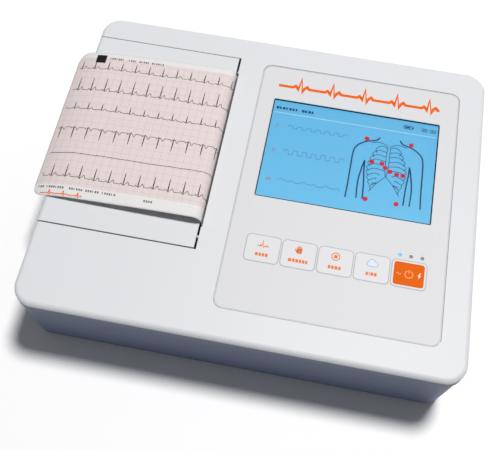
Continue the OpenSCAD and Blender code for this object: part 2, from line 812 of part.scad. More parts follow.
module drilled_board(x, y, z, w, d, corners) {
  difference() {
    box_at(x, y, z, w, d, board_t);
    for (p = corners) translate([p[0], p[1], z - 1]) cylinder(r = board_hole_r, h = 4);
  }
}

module main_board() color("green") placed() {
  drilled_board(main_x, main_y, main_z, main_w, main_d, concat(main_corners, ecg_corners));
}

module board_chips() color("black") placed() {
  z = main_z + board_t;
  box_at(42, 12, z, 18, 18, 1.8);
  for (x = [26, 58]) box_at(x, 12, z, 10, 18, 1.2);
  for (i = [0 : 3]) box_at(4 + i * 14, -44, z, 9, 6, 1.6);
  box_at(20, 30, z, 26, 5, 6);
  translate([44, -20, z]) cylinder(r = 6, h = 3.2);
}

module board_standoffs() color("goldenrod") placed() {
  for (p = ecg_corners) difference() {
    translate([p[0], p[1], main_z + board_t]) cylinder(r = standoff_r, h = ecg_z - main_z - board_t);
    translate([p[0], p[1], main_z]) cylinder(r = standoff_bore_r, h = ecg_z - main_z + 1);
  }
}

module ecg_board() color("green") placed() {
  drilled_board(ecg_x, ecg_y, ecg_z, ecg_w, ecg_d, ecg_corners);
}

module ecg_shield() color("silver") placed() difference() {
  x = ecg_x - 4;
  z = ecg_z + board_t;
  sheet_t = 0.5;
  round_plate(x, ecg_y, z, 34, 30, 6, 1 + sheet_t);
  round_plate(x, ecg_y, z - 1, 34 - 2 * sheet_t, 30 - 2 * sheet_t, 7 - sheet_t, 1);
}

module dsub_outline() {
  polygon([[-12.6, 4], [12.6, 4], [11.2, -4], [-11.2, -4]]);
}

module patient_connector() color("silver") placed() {
  difference() {
    translate([port_x - 1, ecg_y - 19.6, dsub_z - 6.2]) cube([1, 39.2, 12.4]);
    for (s = [-1, 1])
      translate([port_x - 2, ecg_y + s * 16.6, dsub_z]) rotate([0, 90, 0]) cylinder(r = 1.6, h = 4);
  }
  difference() {
    translate([port_x - 9, ecg_y, dsub_z]) rotate([90, 0, 90]) linear_extrude(10.5) dsub_outline();
    for (i = [0 : 7]) dsub_pin(i * 2.77 - 9.7, 1.4);
    for (i = [0 : 6]) dsub_pin(i * 2.77 - 8.3, -1.4);
  }
}

module dsub_pin(y, z) {
  translate([port_x - 4, ecg_y + y, dsub_z + z]) rotate([0, 90, 0]) cylinder(r = 0.55, h = 8);
}

module lan_port() color("silver") placed() difference() {
  translate([port_x - 20, lan_y - 8, main_z + board_t]) cube([20.5, 16, 13.4]);
  translate([port_x - 14, lan_y - 6, main_z + board_t + 1.4]) cube([16, 12, 7]);
  translate([port_x - 14, lan_y - 3, main_z + board_t + 8]) cube([16, 6, 3.2]);
}

module usb_port() color("silver") placed() {
  difference() {
    translate([port_x - 14, usb_y - 7, main_z + board_t]) cube([14.5, 14, 7]);
    translate([port_x - 10, usb_y - 6.3, main_z + board_t + 0.8]) cube([12, 12.6, 5.4]);
  }
  translate([port_x - 11, usb_y - 5.6, main_z + board_t + 3.6]) cube([10, 11.2, 1.8]);
}

module power_board() color("green") placed() {
  drilled_board(power_x, power_y, power_z, power_w, power_d, power_corners);
}

module transformer() color("gold") placed() {
  x = power_x - 22;
  z = power_z + board_t;
  base_h = 5;
  coil_h = 14;
  box_at(x, power_y, z, 30, 26, base_h);
  box_at(x, power_y, z + base_h - eps, 18, 22, coil_h);
  box_at(x, power_y, z + base_h + coil_h - 2 * eps, 30, 26, 4);
}

module capacitors() color("midnightblue") placed() {
  z = power_z + board_t;
  translate([power_x + 6, power_y - 8, z]) cylinder(r = 7, h = 20);
  translate([power_x + 6, power_y + 8, z]) cylinder(r = 7, h = 20);
  for (i = [0 : 2]) translate([power_x + 24, power_y - 16 + 9 * i, z]) cylinder(r = 4, h = 11);
}

inlet_w = 24.4;
inlet_h = 16.6;
module mains_inlet() color("black") placed() difference() {
  union() {
    box_at(inlet_x, inlet_y - 9, inlet_z - 10, 28, 18, 20);
    box_at(inlet_x, inlet_y - 0.8, inlet_z - 12, 32, 1.6, 24);
  }
  box_at(inlet_x, inlet_y - 7, inlet_z - inlet_h / 2, inlet_w, 16, inlet_h);
}

module inlet_pins() color("silver") placed() {
  for (p = [[-7, -3.5], [0, -0.5], [7, -3.5]])
    box_at(inlet_x + p[0], inlet_y - 9, inlet_z + p[1] - 2, 2, 12, 4);
}

module battery_pack() color("royalblue") placed() {
  round_plate(battery_x, battery_y, floor_in + 0.2, battery_w, battery_d, battery_h, 2);
}

module battery_door() color("slategray") placed() difference() {
  round_plate(battery_x, battery_y, foot_h, door_w, door_d, door_t, door_r);
  for (p = door_screws) {
    translate([p[0], p[1], foot_h - 1]) cylinder(r = 1.3, h = 5);
    translate([p[0], p[1], foot_h - 1]) cylinder(r = small_head_r + 0.5, h = 1.9);
  }
}

module speaker() color("black") placed() {
  translate([speaker_x, speaker_y, floor_in]) {
    cylinder(r = speaker_r, h = 2);
    cylinder(r = speaker_r - 4, h = 7);
    cylinder(r = speaker_r - 8, h = 11);
  }
}

module rubber_feet() color("dimgray") placed() {
  for (sx = [-1, 1])
    for (sy = [-1, 1])
      translate([sx * foot_x, sy * foot_y, 0]) cylinder(r = foot_r, h = foot_h);
}

module screw(x, y, z, length, head_r) {
  translate([x, y, z]) {
    difference() {
      cylinder(r = head_r, h = 1.6);
      translate([0, 0, -1]) cylinder(r = head_r * 0.4, h = 2, $fn = 6);
    }
    translate([0, 0, 1]) cylinder(r = head_r * 0.5, h = length);
  }
}

module casing_screws() color("silver") placed() {
  for (p = casing_corners) screw(p[0], p[1], foot_h + 2.4, boss_split + 4, screw_head_r);
  for (p = door_screws) screw(p[0], p[1], foot_h - 0.7, 5, small_head_r);
}

module board_screws() color("silver") placed() {
  for (p = concat(main_corners, power_corners)) {
    z = p[1] > 40 ? power_z : main_z;
    translate([p[0], p[1], z + board_t]) cylinder(r = pan_head_r, h = pan_head_h);
    translate([p[0], p[1], z - 3]) cylinder(r = thread_r, h = 5);
  }
  for (p = ecg_corners) {
    translate([p[0], p[1], ecg_z + board_t]) cylinder(r = pan_head_r, h = pan_head_h);
    translate([p[0], p[1], ecg_z - 4]) cylinder(r = fine_thread_r, h = 6);
  }
  for (p = keypad_corners) {
    translate([p[0], p[1], keypad_z - keypad_head_h]) cylinder(r = keypad_head_r, h = keypad_head_h);
    translate([p[0], p[1], keypad_z - 1]) cylinder(r = thread_r, h = 5);
  }
}

top_casing();
bottom_casing();
control_panel();
display_window();
lcd_panel();
lcd_frame();
lcd_board();
lcd_ribbon();
keypad_board();
key_switches();
key_auto();
key_manual();
key_stop();
key_link();
key_power();
led_mains();
led_battery();
led_link();
lid_cover();
lid_bushes();
platen_shaft();
platen_roller();
platen_gear();
paper_strip();
guide_rails();
paper_tray();
paper_roll();
roll_core();
roll_spindle();
print_head();
head_heatsink();
head_pivot_pin();
head_springs();
tear_bar();
printer_frame();
gear_posts();
idler_gear();
reduction_gear();
motor_pinion();
motor_shaft();
feed_motor();
main_board();
board_chips();
board_standoffs();
ecg_board();
ecg_shield();
patient_connector();
lan_port();
usb_port();
power_board();
transformer();
capacitors();
mains_inlet();
inlet_pins();
battery_pack();
battery_door();
speaker();
rubber_feet();
casing_screws();
board_screws();
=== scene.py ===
import json
import math
import bpy
from mathutils import Matrix, Vector, noise


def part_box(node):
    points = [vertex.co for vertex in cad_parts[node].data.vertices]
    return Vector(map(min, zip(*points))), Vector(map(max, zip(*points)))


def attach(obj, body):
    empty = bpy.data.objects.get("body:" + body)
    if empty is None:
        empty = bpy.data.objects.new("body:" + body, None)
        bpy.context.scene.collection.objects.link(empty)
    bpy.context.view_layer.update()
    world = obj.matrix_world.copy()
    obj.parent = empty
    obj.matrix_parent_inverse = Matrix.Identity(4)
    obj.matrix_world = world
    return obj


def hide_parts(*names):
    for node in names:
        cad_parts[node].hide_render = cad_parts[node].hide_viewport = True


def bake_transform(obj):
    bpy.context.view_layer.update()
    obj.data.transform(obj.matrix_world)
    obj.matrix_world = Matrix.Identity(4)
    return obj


MM = 0.001
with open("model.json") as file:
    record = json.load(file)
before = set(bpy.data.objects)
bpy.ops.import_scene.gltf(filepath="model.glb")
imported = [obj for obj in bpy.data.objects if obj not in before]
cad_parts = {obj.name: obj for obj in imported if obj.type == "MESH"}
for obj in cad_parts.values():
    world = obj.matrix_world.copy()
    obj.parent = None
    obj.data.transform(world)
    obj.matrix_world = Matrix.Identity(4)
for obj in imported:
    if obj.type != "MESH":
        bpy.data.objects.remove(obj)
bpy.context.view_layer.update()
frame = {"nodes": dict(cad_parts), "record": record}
nodes = frame["nodes"]

# ---------------------------------------------------------------- places, all from the CAD boxes
casing_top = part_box("top_casing")[1].z
panel_lo, panel_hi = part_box("control_panel")
window_lo, window_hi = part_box("display_window")
strip_lo, strip_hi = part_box("paper_strip")
roll_lo, roll_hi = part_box("paper_roll")
core_lo, core_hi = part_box("roll_core")
platen_lo, platen_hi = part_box("platen_roller")

# ---------------------------------------------------------------- numbers that the materials share
FILM_GRAIN = 2400        # noise scale of printed film and key caps, finer than moulded plastic
BRUSH_SCALE = 900        # noise scale of brushed metal
METAL_SPREAD = 0.12      # how far brushed metal's tone goes each way
GRAIN_DEPTH = 0.04 * MM
FINE_DEPTH = 0.03 * MM
GLASS_DEPTH = 0.01 * MM
GRID_EDGES = (-0.4768, 0.5182)  # where the printed grid ends across the paper, in units of 100 mm


# ---------------------------------------------------------------- materials
def linear(rgb):
    """An sRGB colour from 0 to 255 as linear values with an alpha of 1."""
    return [(c / 255 / 12.92) if c <= 10 else ((c / 255 + 0.055) / 1.055) ** 2.4 for c in rgb] + [1.0]


class Shader:
    """A Principled material with short names for the nodes that this object uses."""

    def __init__(self, name):
        self.material = bpy.data.materials.new(name)
        self.material.use_nodes = True
        self.nodes = self.material.node_tree.nodes
        self.links = self.material.node_tree.links
        self.bsdf = self.nodes["Principled BSDF"]
        self.place = self.nodes.new("ShaderNodeTexCoord").outputs["Object"]

    def set(self, **values):
        for key, value in values.items():
            self.bsdf.inputs[key.replace("_", " ")].default_value = value
        return self

    def link(self, out, key):
        self.links.new(out, self.bsdf.inputs[key])

    def node(self, kind, *inputs, **attributes):
        n = self.nodes.new("ShaderNode" + kind)
        for key, value in attributes.items():
            setattr(n, key, value)
        for key, value in inputs:
            if isinstance(value, bpy.types.NodeSocket):
                self.links.new(value, n.inputs[key])
            else:
                n.inputs[key].default_value = value
        return n

    def math(self, operation, a, b=0.0):
        return self.node("Math", (0, a), (1, b), operation=operation).outputs[0]

    def share(self, a, part, b):
        """A part of one value and the rest of another."""
        return self.math("ADD", self.math("MULTIPLY", a, part), self.math("MULTIPLY", b, 1 - part))

    def noise(self, scale, detail=3.0, stretch=(1, 1, 1)):
        mapped = self.node("Mapping", ("Vector", self.place), ("Scale", stretch)).outputs[0]
        return self.node("TexNoise", ("Vector", mapped), ("Scale", scale), ("Detail", detail)).outputs["Fac"]

    def mix(self, factor, a, b):
        """Two colours mixed. Sockets 6, 7 and output 2 are the Mix node's colour ones."""
        return self.node("Mix", (0, factor), (6, a), (7, b), data_type="RGBA").outputs[2]

    def bump(self, height, strength, distance):
        n = self.node("Bump", ("Height", height), ("Strength", strength), ("Distance", distance))
        self.link(n.outputs[0], "Normal")

    def rough(self, factor, low, high):
        n = self.node("MapRange", ("Value", factor), ("To Min", low), ("To Max", high))
        self.link(n.outputs[0], "Roughness")


def shade(rgb, k):
    """A colour, lighter or darker by a factor."""
    return [max(0.0, min(1.0, c * k)) for c in linear(rgb)[:3]] + [1.0]


def moulded(name, rgb, rough, spread=0.05, grain=1600, strength=0.12, below=None, **values):
    """Moulded plastic, rubber or film: a slow change of tone and a fine grain.
    Below is a second colour and the two heights between which the first one fades into it."""
    s = Shader(name).set(**values)
    slow = s.noise(14, 2.0)
    fine = s.noise(grain, 2.0)
    tone = s.share(slow, 0.7, fine)
    colour = s.mix(tone, shade(rgb, 1 - spread), shade(rgb, 1 + spread))
    if below:
        low_rgb, low_z, high_z = below
        z = s.node("SeparateXYZ", ("Vector", s.place)).outputs[2]
        up = s.node("MapRange", ("Value", z), ("From Min", low_z), ("From Max", high_z),
                    interpolation_type="SMOOTHSTEP").outputs[0]
        low = s.mix(tone, shade(low_rgb, 1 - spread), shade(low_rgb, 1 + spread))
        colour = s.mix(up, low, colour)
    s.link(colour, "Base Color")
    s.rough(fine, rough - 0.05, rough + 0.06)
    s.bump(fine, strength, GRAIN_DEPTH)
    return s.material


def metal(name, rgb, rough, stretch):
    """Sheet or turned metal with brushing along one direction."""
    s = Shader(name).set(Metallic=1.0)
    lines = s.noise(BRUSH_SCALE, 4.0, stretch)
    slow = s.noise(30, 2.0)
    s.link(s.mix(lines, shade(rgb, 1 - METAL_SPREAD), shade(rgb, 1 + METAL_SPREAD)), "Base Color")
    s.rough(s.share(lines, 0.6, slow), rough - 0.1, rough + 0.14)
    s.bump(lines, 0.12, FINE_DEPTH)
    return s.material


def faced(name, rgb, rim_rgb, rough, node, inset):
    """A key cap whose colour fills its face up to an inset from the sides of the node's box, whose
    depth takes in the cap's 1 mm flanges."""
    lo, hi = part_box(node)
    s = Shader(name).set(Specular_IOR_Level=0.08)
    fine = s.noise(FILM_GRAIN, 2.0)
    place = s.node("SeparateXYZ", ("Vector", s.place)).outputs
    inside = []
    for axis in (0, 1):
        middle, half = (lo[axis] + hi[axis]) / 2, (hi[axis] - lo[axis]) / 2
        off = s.math("ABSOLUTE", s.math("SUBTRACT", place[axis], middle))
        inside.append(s.math("LESS_THAN", off, half - inset[axis]))
    face = s.mix(fine, shade(rgb, 0.97), shade(rgb, 1.03))
    s.link(s.mix(s.math("MULTIPLY", *inside), linear(rim_rgb), face), "Base Color")
    s.rough(fine, rough - 0.05, rough + 0.06)
    s.bump(fine, 0.05, GRAIN_DEPTH)
    return s.material


def circuit():
    """Green solder mask over copper tracks."""
    s = Shader("circuit_board_finish").set(Coat_Weight=0.3)
    mask, darker_mask, track = linear((20, 92, 52)), linear((16, 82, 46)), linear((52, 138, 84))
    cells = s.node("TexBrick", ("Vector", s.place), ("Scale", 90.0), ("Mortar Size", 0.012),
                   ("Mortar Smooth", 0.1), ("Color1", mask), ("Color2", darker_mask), ("Mortar", track))
    edges = s.node("TexVoronoi", ("Vector", s.place), ("Scale", 190.0), feature="DISTANCE_TO_EDGE").outputs[0]
    pad = s.math("LESS_THAN", edges, 0.03)
    pad_share = s.math("MULTIPLY", pad, 0.55)
    s.link(s.mix(pad_share, cells.outputs["Color"], linear((70, 150, 96))), "Base Color")
    s.rough(s.noise(500), 0.28, 0.42)
    s.bump(cells.outputs["Fac"], 0.2, FINE_DEPTH)
    return s.material


def striped(name, rgb, band, rough, axis, pitch, share):
    """A sleeve, tape or card with bands across one axis."""
    s = Shader(name)
    place = s.node("SeparateXYZ", ("Vector", s.place)).outputs[axis]
    line = s.math("LESS_THAN", s.math("FRACT", s.math("MULTIPLY", place, 1 / pitch)), share)
    fine = s.noise(700)
    ground = s.mix(fine, shade(rgb, 0.93), shade(rgb, 1.07))
    s.link(s.mix(line, ground, linear(band)), "Base Color")
    s.rough(fine, rough - 0.05, rough + 0.08)
    s.bump(fine, 0.1, FINE_DEPTH)
    return s.material


def lit(name, low, high, strength, y0, y1):
    """A lit face whose colour changes from y0 to y1."""
    s = Shader(name).set(Base_Color=linear((8, 16, 24)), Roughness=0.35, Emission_Strength=strength)
    y = s.node("SeparateXYZ", ("Vector", s.place)).outputs[1]
    up = s.node("MapRange", ("Value", y), ("From Min", y0), ("From Max", y1)).outputs[0]
    cell = s.noise(2600, 1.0)
    s.link(s.mix(s.share(cell, 0.16, up), linear(low), linear(high)), "Emission Color")
    s.bump(cell, 0.02, GLASS_DEPTH)
    return s.material


def chart(name):
    """Thermal chart paper. The UV map holds the place on the paper in units of 100 mm."""
    s = Shader(name).set(Specular_IOR_Level=0.3)
    uv = s.node("UVMap", uv_map="paper").outputs[0]
    split = s.node("SeparateXYZ", ("Vector", uv))

    def lines(out, pitch, width):
        """1 on lines of this width at every pitch, both in mm, and 0 between them."""
        half = width / pitch / 2
        turn = s.math("FRACT", s.math("ADD", s.math("MULTIPLY", out, 100 / pitch), 100.5 + half))
        return s.math("LESS_THAN", s.math("ABSOLUTE", s.math("SUBTRACT", turn, 0.5)), half)

    along, across = split.outputs[0], split.outputs[1]
    bold = s.math("MAXIMUM", lines(along, 5.0, 0.32), lines(across, 5.0, 0.32))
    thin = s.math("MAXIMUM", lines(along, 1.0, 0.14), lines(across, 1.0, 0.14))
    low, high = GRID_EDGES
    inside = s.math("MULTIPLY", s.math("GREATER_THAN", across, low), s.math("LESS_THAN", across, high))
    grid = s.math("MAXIMUM", s.math("MULTIPLY", bold, 0.40), s.math("MULTIPLY", thin, 0.17))
    ink_share = s.math("MULTIPLY", grid, inside)
    wash = s.math("MULTIPLY", inside, 0.3)
    fibre = s.noise(260, 5.0)
    sheet = s.mix(fibre, linear((217, 215, 214)), linear((226, 224, 223)))
    tinted = s.mix(wash, sheet, linear((208, 178, 175)))
    s.link(s.mix(ink_share, tinted, linear((200, 132, 132))), "Base Color")
    s.rough(fibre, 0.5, 0.66)
    s.bump(fibre, 0.18, GRAIN_DEPTH)
    return s.material


def window_glass():
    s = Shader("display_window_finish")
    s.set(Base_Color=linear((236, 246, 252)), Transmission_Weight=1.0, IOR=1.2)
    s.rough(s.noise(900), 0.02, 0.06)
    s.bump(s.noise(1800), 0.01, GLASS_DEPTH)
    return s.material


BLUE_GREY = (86, 95, 120)
KEY_WHITE = (214, 214, 216)
# The casing's white fades into the side colour between these two heights
SIDE_BAND = (BLUE_GREY, casing_top - 4.2 * MM, casing_top - 2.2 * MM)
plastic_white = moulded("casing_white_finish", (214, 215, 218), 0.46, spread=0.012,
                        Specular_IOR_Level=0.3, below=SIDE_BAND)
FINISH = {
    "casing_white": plastic_white,
    "casing_blue_grey": moulded("casing_blue_grey_finish", BLUE_GREY, 0.5, spread=0.05,
                                Specular_IOR_Level=0.3),
    "panel_film": moulded("panel_film_finish", (211, 211, 213), 0.52, spread=0.012, grain=FILM_GRAIN,
                          strength=0.06, Specular_IOR_Level=0.3),
    "display_glass": window_glass(),
    "lcd_screen": lit("lcd_screen_finish", (70, 150, 205), (60, 140, 200), 0.6, window_lo.y, window_hi.y),
    "sheet_steel": metal("sheet_steel_finish", (188, 191, 196), 0.36, (1, 0.06, 1)),
    "circuit_board": circuit(),
    "ribbon_film": striped("ribbon_film_finish", (222, 220, 206), (188, 186, 176), 0.45, 0, 0.001, 0.4),
    "black_plastic": moulded("black_plastic_finish", (30, 30, 32), 0.45, spread=0.2),
    "key_white": moulded("key_white_finish", KEY_WHITE, 0.5, spread=0.015, grain=FILM_GRAIN,
                         strength=0.06, Specular_IOR_Level=0.3),
    "key_orange": faced("key_orange_finish", (222, 96, 2), KEY_WHITE, 0.6, "key_power",
                        (0.8 * MM, 1.8 * MM)),
    "led_blue": lit("led_blue_finish", (30, 160, 240), (60, 190, 250), 1.25, window_lo.y - 0.03, window_lo.y),
    "led_clear": moulded("led_clear_finish", (120, 124, 130), 0.22, spread=0.1, Coat_Weight=0.5),
    "nylon": moulded("nylon_finish", (228, 224, 208), 0.4, spread=0.05, Subsurface_Weight=0.05),
    "steel": metal("steel_finish", (196, 196, 200), 0.26, (1, 0.1, 1)),
    "black_rubber": moulded("black_rubber_finish", (38, 38, 39), 0.78, spread=0.25, grain=900, strength=0.4),
    "chart_paper": chart("chart_paper_finish"),
    "cardboard": striped("cardboard_finish", (176, 146, 104), (150, 122, 86), 0.8, 1, 0.012, 0.06),
    "grey_plastic": moulded("grey_plastic_finish", (172, 175, 180), 0.46, spread=0.06),
    "head_ceramic": moulded("head_ceramic_finish", (124, 120, 112), 0.2, spread=0.1, Coat_Weight=0.6),
    "aluminium": metal("aluminium_finish", (206, 208, 211), 0.34, (1, 0.05, 1)),
    "brass": metal("brass_finish", (222, 188, 108), 0.26, (1, 0.2, 1)),
    "motor_can": metal("motor_can_finish", (142, 144, 150), 0.4, (1, 0.1, 1)),
    "connector_shell": metal("connector_shell_finish", (200, 202, 206), 0.26, (0.1, 1, 1)),
    "transformer_tape": striped("transformer_tape_finish", (226, 190, 60), (58, 58, 60), 0.4, 2, 0.023, 0.2),
    "capacitor_sleeve": striped("capacitor_sleeve_finish", (36, 44, 74), (150, 156, 172), 0.3, 0, 0.018,
                                0.12),
    "battery_wrap": striped("battery_wrap_finish", (52, 86, 156), (34, 62, 122), 0.34, 0, 0.02, 0.04),
}
for subpart in frame["record"]["subparts"]:
    mesh = nodes[subpart["node"]].data
    mesh.materials.clear()
    mesh.materials.append(FINISH[subpart["material_slot"]])

# Soft edges on the CAD nodes that show: a weld joins the split edges, and a small bevel rounds them.
# The numbers are the bevel's width in mm.
SOFT_EDGES = {
    "top_casing": 0.35, "bottom_casing": 0.35, "lid_cover": 0.35, "control_panel": 0.12, "key_auto": 0.25,
    "key_manual": 0.25, "key_stop": 0.25, "key_link": 0.25, "key_power": 0.25, "battery_door": 0.3,
    "rubber_feet": 0.4, "mains_inlet": 0.3, "paper_tray": 0.25, "battery_pack": 0.5, "transformer": 0.3,
    "tear_bar": 0.05, "lan_port": 0.15, "usb_port": 0.15, "patient_connector": 0.12,
}
WELD_REACH = 0.002 * MM
SHARP_ANGLE = math.radians(38)
for name, width in SOFT_EDGES.items():
    o = nodes[name]
    for p in o.data.polygons:
        p.use_smooth = True
    o.modifiers.new("weld", "WELD").merge_threshold = WELD_REACH
    bevel = o.modifiers.new("bevel", "BEVEL")
    bevel.width = width * MM
    bevel.segments = 2
    bevel.limit_method = "ANGLE"
    bevel.angle_limit = SHARP_ANGLE
    bevel.use_clamp_overlap = True
    o.modifiers.new("normals", "WEIGHTED_NORMAL").keep_sharp = False


# ---------------------------------------------------------------- shapes drawn on flat faces
TINY = 1e-9              # shorter than this, a stretch of line has no direction
MITRE_LIMIT = 2.0        # how far a corner of a line may reach, in half widths
LEAST_COSINE = 0.35      # keeps a corner that turns back on itself from dividing by zero


class Flat:
    """Thin raised shapes on a level face. Points are in metres in the row frame."""

    def __init__(self, z0, z1):
        self.z0, self.z1 = z0, z1
        self.verts, self.faces = [], []

    def outline(self, points):
        n, first = len(points), len(self.verts)
        self.verts += [(x, y, self.z1) for x, y in points] + [(x, y, self.z0) for x, y in points]
        self.faces.append([first + i for i in range(n)])
        for i in range(n):
            j = (i + 1) % n
            self.faces.append([first + i, first + n + i, first + n + j, first + j])

    def line(self, points, width, closed=False):
        n, first = len(points), len(self.verts)
        for i, p in enumerate(points):
            a = points[i - 1] if (i or closed) else p
            b = points[(i + 1) % n] if (i < n - 1 or closed) else p
            back, ahead = Vector(p) - Vector(a), Vector(b) - Vector(p)
            d1 = (back if back.length > TINY else ahead).normalized()
            d2 = (ahead if ahead.length > TINY else back).normalized()
            t = d1 + d2
            t = t.normalized() if t.length > 1e-6 else d1
            reach = min(MITRE_LIMIT, 1 / max(LEAST_COSINE, t.dot(d1))) * (width / 2)
            for side in (1, -1):
                for z in (self.z1, self.z0):
                    self.verts.append((p[0] - side * t.y * reach, p[1] + side * t.x * reach, z))
        for i in range(n if closed else n - 1):
            q, r = first + 4 * i, first + 4 * ((i + 1) % n)
            self.faces += [[q, q + 2, r + 2, r], [q + 1, q, r, r + 1], [q + 2, q + 3, r + 3, r + 2]]

    def disc(self, x, y, r, n=28):
        angles = [2 * math.pi * i / n for i in range(n)]
        self.outline([(x + r * math.cos(a), y + r * math.sin(a)) for a in angles])

    def make(self, name, material, body, slot):
        return piece(name, self.verts, self.faces, material, body)


def piece(name, verts, faces, material, body, smooth=False):
    mesh = bpy.data.meshes.new(name)
    mesh.from_pydata([tuple(v) for v in verts], [], faces)
    mesh.materials.append(material)
    for p in mesh.polygons:
        p.use_smooth = smooth
    mesh.update()
    o = bpy.data.objects.new(name, mesh)
    bpy.context.scene.collection.objects.link(o)
    if body:
        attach(o, body)
    return o


def arc(x, y, rx, ry, a0, a1, n=20):
    """Points on a part of an ellipse, from angle a0 to a1 in degrees."""
    angles = [math.radians(a0 + (a1 - a0) * i / n) for i in range(n + 1)]
    return [(x + rx * math.cos(a), y + ry * math.sin(a)) for a in angles]


def rectangle(x0, y0, x1, y1):
    return [(x0, y0), (x1, y0), (x1, y1), (x0, y1)]


def rounded(x0, y0, x1, y1, r, n=7):
    """Points of a rectangle with round corners."""
    return (arc(x1 - r, y1 - r, r, r, 0, 90, n) + arc(x0 + r, y1 - r, r, r, 90, 180, n)
            + arc(x0 + r, y0 + r, r, r, 180, 270, n) + arc(x1 - r, y0 + r, r, r, 270, 360, n))


def smooth_line(points, steps=8):
    """A Catmull-Rom curve through the points."""
    out, p = [], [points[0]] + list(points) + [points[-1]]
    for i in range(1, len(p) - 2):
        a, b, c, d = (Vector(q) for q in p[i - 1:i + 3])
        for k in range(steps):
            t = k / steps
            q = 0.5 * (2 * b + (c - a) * t + (2 * a - 5 * b + 4 * c - d) * t * t
                       + (3 * b - 3 * c + d - a) * t ** 3)
            out.append((q.x, q.y))
    return out + [tuple(points[-1])]


ORANGE = moulded("print_orange", (230, 98, 3), 0.6, spread=0.03, Specular_IOR_Level=0.08)
GREY_LINE = moulded("print_grey", (184, 187, 196), 0.5, spread=0.03)
KEY_LINE = moulded("print_key_line", (166, 167, 174), 0.5, spread=0.03)
SOFT_ORANGE = moulded("print_soft_orange", (240, 152, 84), 0.6, spread=0.03)
KEY_INK = moulded("print_key_orange", (228, 124, 62), 0.6, spread=0.03, Specular_IOR_Level=0.1)
GREY_INK = moulded("print_dark_grey", (98, 94, 98), 0.6, spread=0.05)
WHITE_INK = moulded("print_white", (240, 212, 184), 0.5, spread=0.02)
BLACK_INK = moulded("print_black", (22, 21, 24), 0.6, spread=0.1, Specular_IOR_Level=0.2)
PALE_RIM = moulded("print_rim", (216, 216, 218), 0.5, spread=0.02, Specular_IOR_Level=0.2)


# ---------------------------------------------------------------- the picture on the display
def screen_light(name, low, high, strength):
    return lit(name, low, high, strength, window_lo.y, window_hi.y)


SCREEN_BLUE = screen_light("screen_picture_light", (118, 200, 240), (108, 189, 231), 0.98)
SCREEN_INK = screen_light("screen_ink_light", (26, 62, 110), (24, 58, 104), 0.9)
SCREEN_FAINT = screen_light("screen_faint_light", (78, 152, 206), (74, 148, 202), 0.9)
SCREEN_PINK = screen_light("screen_pink_light", (196, 96, 150), (196, 96, 150), 0.9)
SCREEN_RED = screen_light("screen_red_light", (226, 40, 66), (226, 40, 66), 0.95)
SCREEN_PALE = screen_light("screen_pale_light", (186, 230, 250), (182, 226, 248), 1.0)
# The bottom and top of each layer, in mm below the window's underside
BORDER_LAYER = (0.9, 0.42)
PICTURE_LAYER = (0.42, 0.3)
RULE_LAYER = (0.3, 0.25)
INK_LAYER = (0.3, 0.22)
DOT_LAYER = (0.22, 0.12)
STROKE = 0.4 * MM


def layer(depths):
    bottom, top = depths
    return Flat(window_lo.z - bottom * MM, window_lo.z - top * MM)


bezel = layer(BORDER_LAYER)
margin = 0.4 * MM
bezel.outline(rectangle(window_lo.x - margin, window_lo.y - margin,
                        window_hi.x + margin, window_hi.y + margin))
bezel.make("display_border", BLACK_INK, "root", "lcd_screen")
edge = 0.55 * MM
px0, px1 = window_lo.x + edge, window_hi.x - edge
py0, py1 = window_lo.y + 2 * edge, window_hi.y - edge
picture = layer(PICTURE_LAYER)
picture.outline(rectangle(px0, py0, px1, py1))
picture.make("display_picture", SCREEN_BLUE, "root", "lcd_screen")


def on_screen(u, v):
    """A place on the display from its shares of the width and the height."""
    return px0 + u * (px1 - px0), py0 + v * (py1 - py0)


def screen_points(points):
    return [on_screen(u, v) for u, v in points]


ink, faint, pink = layer(INK_LAYER), layer(INK_LAYER), layer(INK_LAYER)
pale, red = layer(RULE_LAYER), layer(DOT_LAYER)
# Header: a pale rule, a row of blocks in place of a name, a battery and a row of blocks in place of a clock
pale.line(screen_points([(0.01, 0.872), (0.99, 0.872)]), 0.5 * MM)
NAME_BLOCKS = (2.0, 1.5, 1.8, 1.2, 1.8, 1.6, 1.3, 0, 2.1, 1.5, 2.0, 1.5)
left, y = on_screen(0.018, 0.924)
for i, w in enumerate(NAME_BLOCKS):
    x = left + 2.1 * MM * i
    if w:
        ink.outline(rounded(x, y - 0.95 * MM, x + w * MM * 0.85, y + 0.95 * MM, 0.3 * MM, 3))
x, y = on_screen(0.795, 0.936)
ink.line(rounded(x, y - 1.1 * MM, x + 5.6 * MM, y + 1.1 * MM, 0.3 * MM, 3), STROKE, True)
ink.outline(rectangle(x + 0.7 * MM, y - 0.5 * MM, x + 4.2 * MM, y + 0.5 * MM))
ink.outline(rectangle(x + 5.8 * MM, y - 0.5 * MM, x + 6.5 * MM, y + 0.5 * MM))
left, y = on_screen(0.905, 0.932)
for i in (0, 1, 3, 4):
    x = left + 1.9 * MM * i
    ink.line(rounded(x, y - 1.1 * MM, x + 1.2 * MM, y + 1.1 * MM, 0.4 * MM, 3), STROKE, True)
for dy in (-0.6, 0.6):
    ink.disc(left + 4.7 * MM, y + dy * MM, 0.25 * MM, 10)


def square_wave(t):
    return max(-1.0, min(1.0, 4.0 * math.sin(2 * math.pi * t)))


def low_bumps(t):
    return max(0.0, math.sin(2 * math.pi * t)) + 0.3 * math.sin(math.pi * t)


